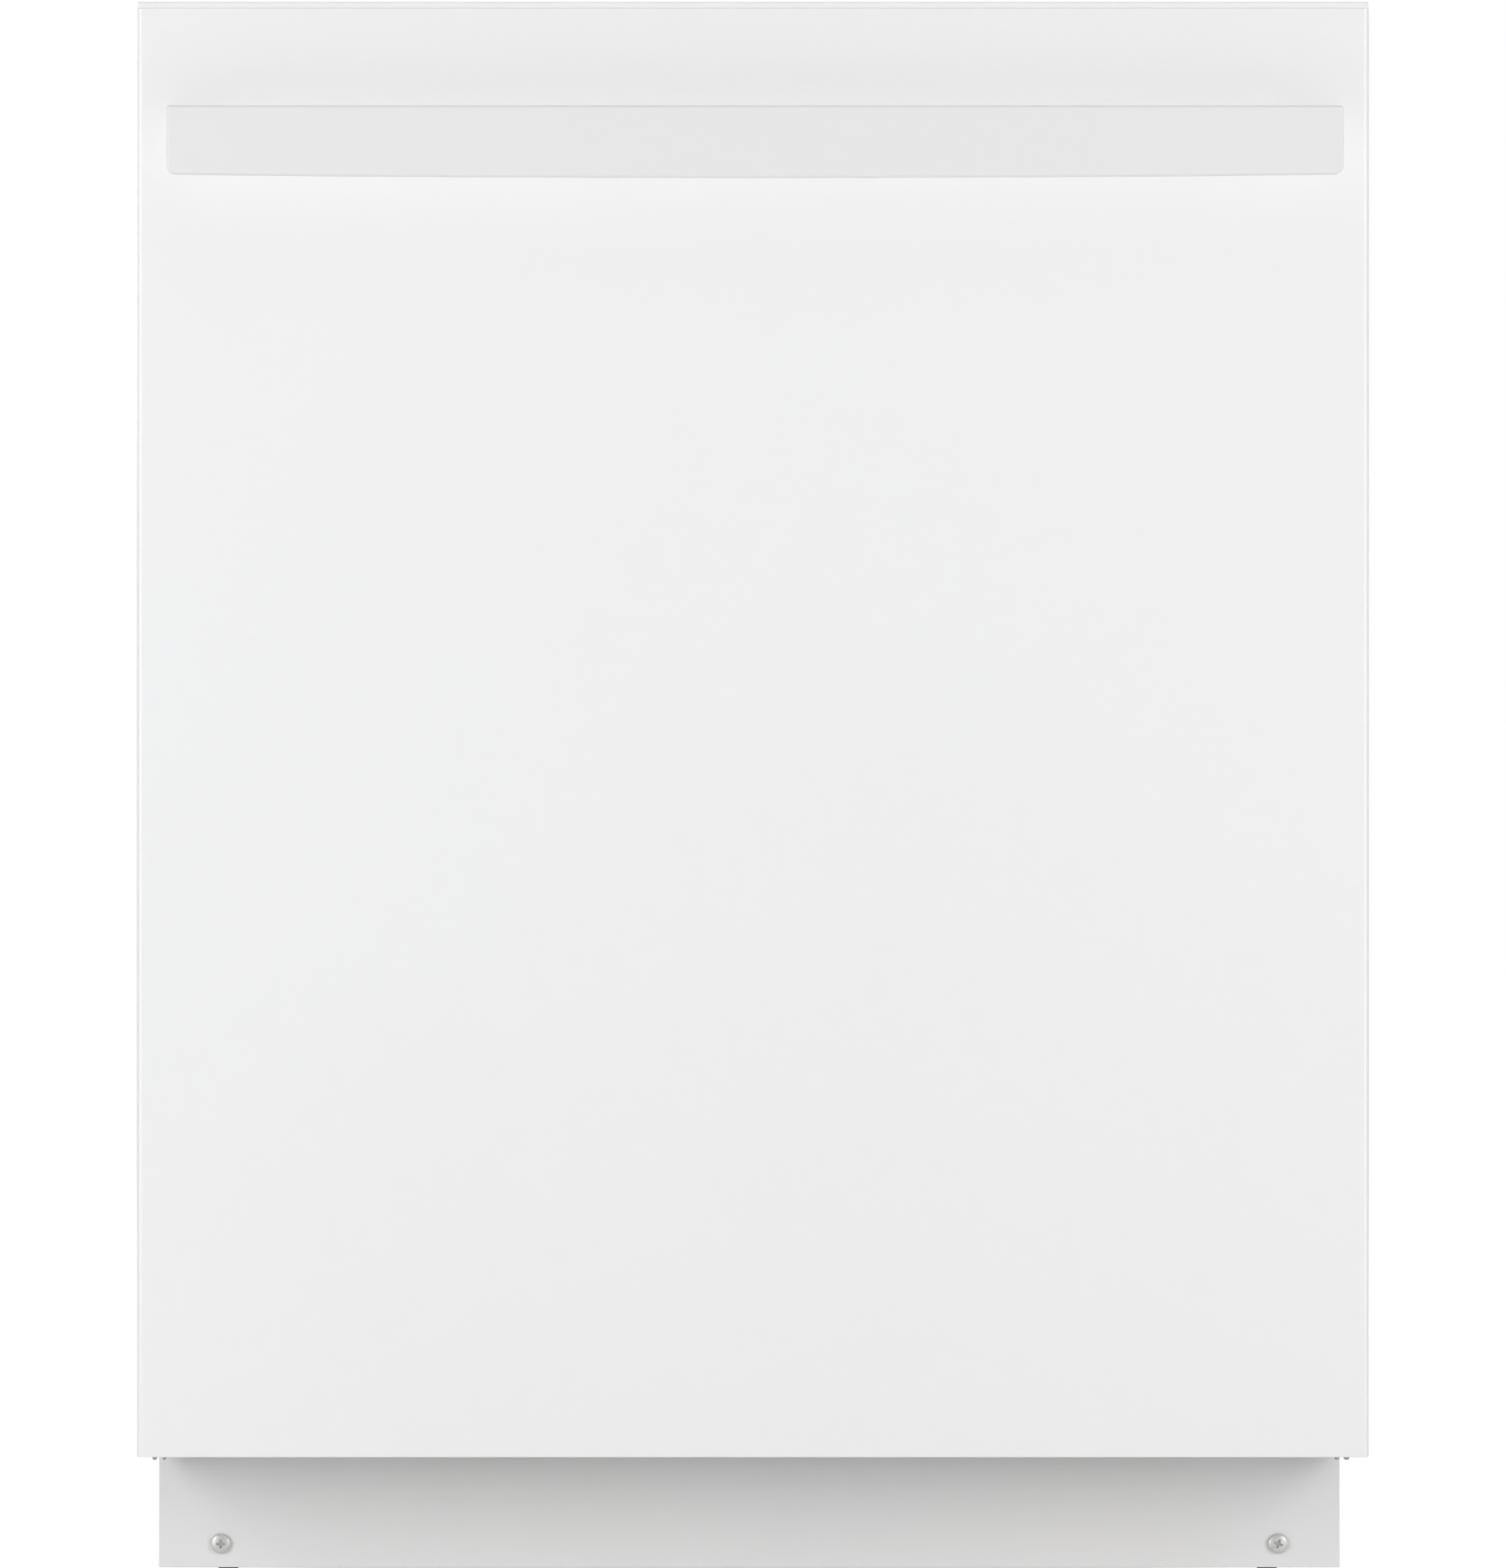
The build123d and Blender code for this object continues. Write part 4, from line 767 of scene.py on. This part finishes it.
def felt_piece(name, spine, across, thickness, seam, material, body, node):
    """A felt pad along a line of (point, normal) pairs, full between its seams and thin at its rim."""
    shape = bmesh.new()
    width = across.length
    steps = max(2, round(width / FELT_CELL))
    run = [0.0]
    for i in range(1, len(spine)):
        run.append(run[-1] + (spine[i][0] - spine[i - 1][0]).length)
    inner = []
    outer = []
    for i, (spot, normal) in enumerate(spine):
        inner_row = []
        outer_row = []
        for j in range(steps + 1):
            b = width * j / steps
            rim = min(1.0, min(run[i], run[-1] - run[i], b, width - b) / FELT_ROLL)
            swell = math.sqrt(1 - (1 - rim) ** 2)
            puff = (abs(math.sin(math.pi * run[i] / seam)) * abs(math.sin(math.pi * b / seam))) ** 0.4
            place = spot + across * (j / steps)
            lump = 0.5 + 0.5 * noise.noise(place * 17)
            fray = (1 - rim) * FELT_FRAY * (0.6 + 0.4 * noise.noise(place * 60))
            place = place + across.normalized() * (fray if j == 0 else -fray if j == steps else 0.0)
            height = thickness * (0.22 + swell * (0.33 + 0.24 * puff + 0.16 * lump))
            inner_row.append(shape.verts.new(place + normal * thickness * 0.03))
            outer_row.append(shape.verts.new(place + normal * height))
        inner.append(inner_row)
        outer.append(outer_row)
    for i in range(len(spine) - 1):
        for j in range(steps):
            shape.faces.new((outer[i][j], outer[i + 1][j], outer[i + 1][j + 1], outer[i][j + 1]))
            shape.faces.new((inner[i][j], inner[i][j + 1], inner[i + 1][j + 1], inner[i + 1][j]))
        for j in (0, steps):
            shape.faces.new((inner[i][j], inner[i + 1][j], outer[i + 1][j], outer[i][j]))
    for row, other in ((inner[0], outer[0]), (inner[-1], outer[-1])):
        for j in range(steps):
            shape.faces.new((row[j], row[j + 1], other[j + 1], other[j]))
    piece = finished(name, shape, material, body, node)
    for polygon in piece.data.polygons:
        polygon.use_smooth = True
    smooth = piece.modifiers.new("smooth", "SUBSURF")
    smooth.levels = 1
    smooth.render_levels = 1
    return piece


def straight(start, end, normal):
    """A spine of evenly spaced points from start to end."""
    start, end, normal = Vector(start), Vector(end), Vector(normal)
    count = max(2, round((end - start).length / FELT_CELL))
    return [(start.lerp(end, i / count), normal) for i in range(count + 1)]


tub_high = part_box("tub")[1]
felt_low, felt_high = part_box("sound_blanket")
FELT_SEAM = 132.0 * MM
PAD_SEAM = 108.0 * MM
SHOULDER = 20.5 * MM
SHOULDER_STEPS = 6
SIDE_END = 6.0 * MM  # from the tub's back to the felt on its sides
REAR_INSET = 5.0 * MM
REAR_RISE = 6.0 * MM
REAR_DROP = 23.0 * MM
felt_thick = felt_high.x - tub_high.x - FELT_GAP
wall_x = tub_high.x + FELT_GAP
shoulder_x = wall_x - SHOULDER
shoulder_z = tub_high.z + FELT_GAP - SHOULDER
front_y = felt_low.y + FELT_GAP
foot_z = felt_low.z + FELT_GAP
spine = straight((-wall_x, front_y, foot_z), (-wall_x, front_y, shoulder_z), (-1, 0, 0))
for side in (-1, 1):
    for i in range(1, SHOULDER_STEPS):
        angle = math.pi / 2 * i / SHOULDER_STEPS
        turn = angle if side < 0 else math.pi / 2 - angle
        normal = Vector((side * math.cos(turn), 0, math.sin(turn)))
        spine.append((Vector((side * shoulder_x, front_y, shoulder_z)) + normal * SHOULDER, normal))
    if side < 0:
        top_z = shoulder_z + SHOULDER
        spine += straight((-shoulder_x, front_y, top_z), (shoulder_x, front_y, top_z), (0, 0, 1))
spine += straight((wall_x, front_y, shoulder_z), (wall_x, front_y, foot_z), (1, 0, 0))
across = Vector((0, tub_high.y - SIDE_END - front_y, 0))
felt_piece("blanket_over_tub", spine, across, felt_thick, FELT_SEAM, FELT, "cabinet", "sound_blanket")
rear_x = tub_high.x - REAR_INSET
rear_y = tub_high.y + FELT_GAP
rear_start = (-rear_x, rear_y, felt_low.z + REAR_RISE)
spine = straight(rear_start, (-rear_x, rear_y, felt_high.z - REAR_DROP), (0, 1, 0))
across = Vector((2 * rear_x, 0, 0))
felt_piece("blanket_rear", spine, across, felt_high.y - rear_y, FELT_SEAM, FELT, "cabinet", "sound_blanket")

pad_low, pad_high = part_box("door_insulation")
spine = straight((pad_low.x, pad_low.y, pad_low.z), (pad_low.x, pad_low.y, pad_high.z), (0, 1, 0))
across = Vector((pad_high.x - pad_low.x, 0, 0))
pad_depth = pad_high.y - pad_low.y
felt_piece("door_wadding_pad", spine, across, pad_depth, PAD_SEAM, WADDING, "door", "door_insulation")


# ---------------------------------------------------------------- balance springs
coil_low, coil_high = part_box("balance_springs")
SPRING_WIRE = 1.2 * MM
SPRING_PITCH = 1.95 * MM
COIL_STEPS = 12
coil_z = (coil_low.z + coil_high.z) / 2
coil_r = (coil_high.z - coil_low.z) / 2 - SPRING_WIRE / 2
for side, label in ((-1, "left"), (1, "right")):
    coil_x = side * (coil_high.x - (coil_high.z - coil_low.z) / 2)
    length = coil_high.y - coil_low.y - SPRING_WIRE
    count = round(length / SPRING_PITCH) * COIL_STEPS
    path = []
    for i in range(count + 1):
        angle = 2 * math.pi * i / COIL_STEPS
        y = coil_low.y + SPRING_WIRE / 2 + length * i / count
        path.append((coil_x + coil_r * math.sin(angle), y, coil_z + coil_r * math.cos(angle)))
    line = wires(f"coil_line_{label}", [path], SPRING_WIRE / 2, SPRING, None)
    line.data.bevel_resolution = 1
    bpy.context.view_layer.update()
    coil = bpy.data.meshes.new_from_object(line.evaluated_get(bpy.context.evaluated_depsgraph_get()))
    bpy.data.objects.remove(line)
    spring = bpy.data.objects.new(f"spring_coil_{label}", coil)
    bpy.context.scene.collection.objects.link(spring)
    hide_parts("balance_springs")
    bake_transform(spring)


# ---------------------------------------------------------------- racks of bent, coated wire and their wheels
RACK_WIRE = 4.0 * MM
RACK_RIM = 6.0 * MM
RACK_HALF = 246.0 * MM
RACK_CORNER = 10.0 * MM
WIRE_BEND = 6.0 * MM
FIRST_CROSS = 14.0 * MM
PLATE_IN = 252.1 * MM
PLATE_THICK = 1.5 * MM
AXLE_R = 3.0 * MM


def spaced(low, high, count):
    return [low + (high - low) * i / (count - 1) for i in range(count)]


def hoop(half, front, back, z):
    corners = [(-half, front, z), (half, front, z), (half, back, z), (-half, back, z)]
    return bent(corners, RACK_CORNER, 8, True)


def rack(node, floor_z, cross_count, length_count, tine_rows, tine_height):
    """A dish rack whose floor wires turn up at both ends to meet the rim, with tines on the cross wires."""
    low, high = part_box(node)
    front = low.y + RACK_RIM / 2
    back = high.y - RACK_RIM / 2
    rim_z = high.z - RACK_RIM / 2
    edge = RACK_HALF + RACK_WIRE
    ys = spaced(front + FIRST_CROSS, back - FIRST_CROSS, cross_count)
    paths = []
    for x in spaced(-RACK_HALF, RACK_HALF, length_count):
        ends = [(x, front, rim_z), (x, front, floor_z), (x, back, floor_z), (x, back, rim_z)]
        paths.append(bent(ends, WIRE_BEND))
    for y in ys:
        under = floor_z - RACK_WIRE
        ends = [(-edge, y, rim_z), (-edge, y, under), (edge, y, under), (edge, y, rim_z)]
        paths.append(bent(ends, WIRE_BEND))
    middle = (floor_z + rim_z) / 2
    paths.append(hoop(edge - RACK_WIRE, front + RACK_WIRE, back - RACK_WIRE, middle))
    hoops = (len(paths) - 1,)
    wires(f"{node}_wires", paths, RACK_WIRE / 2, COATED, node, node, closed=hoops)
    wires(f"{node}_rim", [hoop(edge, front, back, rim_z)], RACK_RIM / 2, COATED, node, node, closed=(0,))
    tines = []
    for x in tine_rows:
        for y in ys[1:-1]:
            foot = floor_z - RACK_WIRE
            top = floor_z + tine_height
            tines.append([(x, y, foot), (x, y, (foot + top) / 2), (x, y, top)])
    wires(f"{node}_tines", tines, RACK_WIRE / 2, COATED, node, node, tips=range(len(tines)))


def wheel_plates(node, wheels, half_width, below, top_z, axle_end):
    """Plates that hang on the rack's sides and carry an axle for each wheel."""
    shape = bmesh.new()
    for wheel in wheels:
        low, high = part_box(wheel)
        y = (low.y + high.y) / 2
        z = (low.z + high.z) / 2
        corners = [
            (y - half_width, z - below),
            (y + half_width, z - below),
            (y + half_width, top_z),
            (y - half_width, top_z),
        ]
        for side in (-1, 1):
            face = outline(corners, [5 * MM, 5 * MM, 2.5 * MM, 2.5 * MM])
            prism(shape, face, lambda p, d: Vector((side * (PLATE_IN + d), p.x, p.y)), PLATE_THICK)
            start = PLATE_IN + PLATE_THICK
            reach = axle_end - start
            boss = 0.5 * MM
            turned = [(0.0, 0.0), (0.0, AXLE_R + 1.5 * MM), (boss, AXLE_R + 1.5 * MM), (boss, AXLE_R)]
            turned += [(reach - 0.8 * MM, AXLE_R), (reach, AXLE_R - 0.8 * MM), (reach, 0.0)]
            lathe(shape, turned, (side * start, y, z), (side, 0, 0), 32)
    rounded(finished(f"{node}_wheel_plates", shape, GREY, node, node), 0.3, 2)


def rollers(node, spokes=6):
    """A pair of moulded rollers, each a hub and a tyre joined by a thin web and spokes."""
    low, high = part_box(node)
    radius = (high.z - low.z) / 2
    y = (low.y + high.y) / 2
    z = (low.z + high.z) / 2
    width = (6.4 if node in UPPER_WHEELS else 8.6) * MM
    bore = AXLE_R + 0.05 * MM
    hub = bore + 1.9 * MM
    tyre = radius - 2.2 * MM
    web = width * 0.16
    crown = 0.7 * MM
    half = width / 2
    for side, label in ((-1, "left"), (1, "right")):
        shape = bmesh.new()
        profile = [(-half, bore), (half, bore), (half, hub), (web, hub), (web, tyre), (half, tyre)]
        profile += [(half, radius - crown), (half - crown, radius)]
        profile += [(-half + crown, radius), (-half, radius - crown)]
        profile += [(-half, tyre), (-web, tyre), (-web, hub), (-half, hub)]
        centre = (side * (high.x - half), y, z)
        ring_lathe(shape, profile, centre, (side, 0, 0), 48)
        for i in range(spokes):
            reach = half * 0.8
            rib = slab(shape, (-reach, -0.6 * MM, hub - 0.3 * MM), (reach, 0.6 * MM, tyre + 0.3 * MM))
            turn = Matrix.Rotation(2 * math.pi * i / spokes, 4, "X")
            bmesh.ops.transform(shape, matrix=Matrix.Translation(centre) @ turn, verts=rib)
        rounded(finished(f"{node}_{label}_roller", shape, GREY, node, node), 0.2, 2)


upper_low, upper_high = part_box("upper_rack")
lower_low, lower_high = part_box("lower_rack")
UPPER_FLOOR = upper_low.z + 6.0 * MM
LOWER_FLOOR = lower_low.z + 34.0 * MM
UPPER_TINES = [x * MM for x in (-175, -75, 75, 175)]
LOWER_TINES = [x * MM for x in (-220, -160, -100, 30, 90, 150)]
rack("upper_rack", UPPER_FLOOR, 8, 11, UPPER_TINES, 57 * MM)
rack("lower_rack", LOWER_FLOOR, 9, 11, LOWER_TINES, 93 * MM)
UPPER_WHEELS = ("upper_wheels_front", "upper_wheels_rear")
LOWER_WHEELS = ("lower_wheels_front", "lower_wheels_rear")
upper_top = upper_high.z - 4 * MM
lower_top = LOWER_FLOOR + 44 * MM
wheel_plates("upper_rack", UPPER_WHEELS, 16 * MM, 10 * MM, upper_top, upper_high.x)
wheel_plates("lower_rack", LOWER_WHEELS, 12 * MM, 8.3 * MM, lower_top, lower_high.x)
for node in (*UPPER_WHEELS, *LOWER_WHEELS):
    rollers(node)


# ---------------------------------------------------------------- stage, light and camera
FLOOR_GLOW = 0.62
SKY_LIGHT = 0.38
SKY_MIRRORED = 0.55


def white_floor():
    s = Surface("stage_white", (0.93, 0.93, 0.93), 0.6)
    s.tint(s.fit(s.noise(1.5, 2), 0.4, 0.7, 0.0, 0.3), (0.9, 0.9, 0.9))
    s.shader.inputs["Emission Color"].default_value = (1, 1, 1, 1)
    seen = s.add("ShaderNodeLightPath").outputs["Is Camera Ray"]
    s.join(s.fit(seen, 0.0, 1.0, 0.0, FLOOR_GLOW), s.shader.inputs["Emission Strength"])
    return s.material


floor_mesh = bpy.data.meshes.new("studio_floor")
shape = bmesh.new()
bmesh.ops.create_grid(shape, x_segments=2, y_segments=2, size=14)
shape.to_mesh(floor_mesh)
shape.free()
floor = bpy.data.objects.new("studio_floor", floor_mesh)
bpy.context.scene.collection.objects.link(floor)
floor.location.z = CAD_BOX[0].z
floor_mesh.materials.append(white_floor())

world = bpy.data.worlds.new("studio")
bpy.context.scene.world = world
world.use_nodes = True
sky = world.node_tree.nodes["Background"]
sky.inputs["Color"].default_value = (1, 1, 1, 1)
sky.inputs["Strength"].default_value = SKY_LIGHT
path = world.node_tree.nodes.new("ShaderNodeLightPath")
level = None
for ray, gain in (("Is Glossy Ray", SKY_MIRRORED - SKY_LIGHT), ("Is Camera Ray", 1.0 - SKY_LIGHT)):
    step = world.node_tree.nodes.new("ShaderNodeMath")
    step.operation = "MULTIPLY_ADD"
    step.inputs[1].default_value = gain
    step.inputs[2].default_value = SKY_LIGHT
    world.node_tree.links.new(path.outputs[ray], step.inputs[0])
    if level is not None:
        world.node_tree.links.new(level, step.inputs[2])
    level = step.outputs["Value"]
world.node_tree.links.new(level, sky.inputs["Strength"])


def softbox(name, place, aim, size, power, colour=(1, 1, 1)):
    """A rectangular studio lamp at a place, turned to an aim, with its power in watts."""
    data = bpy.data.lights.new(name, "AREA")
    data.shape = "RECTANGLE"
    data.size, data.size_y = size
    data.energy = power
    data.color = colour
    lamp = bpy.data.objects.new(name, data)
    lamp.location = place
    lamp.rotation_mode = "QUATERNION"
    lamp.rotation_quaternion = (Vector(aim) - Vector(place)).to_track_quat("-Z", "Y")
    bpy.context.scene.collection.objects.link(lamp)
    return lamp


softbox("left", (-1.6, -1.7, 0.75), (0.0, -0.28, 0.5), (1.0, 1.6), 19.0, (0.985, 0.992, 1.0))
softbox("right", (1.6, -1.7, 0.75), (0.0, -0.28, 0.5), (1.0, 1.6), 17.5, (1.0, 0.992, 0.985))
softbox("top", (0.0, -1.7, 2.5), (0.0, -0.28, 0.6), (2.4, 1.0), 3.5)
softbox("back_left", (-1.5, 2.6, 1.5), (0.0, 0.2, 0.4), (1.2, 1.6), 22.0)
softbox("back_right", (1.8, 2.2, 2.0), (0.0, 0.2, 0.4), (1.2, 1.2), 16.0)

scene = bpy.context.scene
scene.view_settings.view_transform = "Standard"
scene.view_settings.look = "None"

DOOR_LOW, DOOR_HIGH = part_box("door_skin")
TALL_OVER_WIDE = 1960 / 1882  # the picture's proportions
DOOR_SHARE = 0.81881  # the door's width over the picture's
VIEW_DISTANCE = 3.5
PICTURE_HEIGHT = (DOOR_HIGH.x - DOOR_LOW.x) / DOOR_SHARE * TALL_OVER_WIDE
EYE_X = -0.084
EYE_Z = DOOR_HIGH.z - 0.3796
SENSOR = 36.0
camera_data = bpy.data.cameras.new("camera")
camera_data.sensor_width = SENSOR
camera_data.lens = SENSOR * VIEW_DISTANCE / PICTURE_HEIGHT
camera_data.shift_x = -EYE_X / PICTURE_HEIGHT
camera = bpy.data.objects.new("camera", camera_data)
camera.location = (EYE_X, DOOR_LOW.y - VIEW_DISTANCE, EYE_Z)
camera.rotation_euler = (math.radians(90), 0, 0)
scene.collection.objects.link(camera)
scene.camera = camera
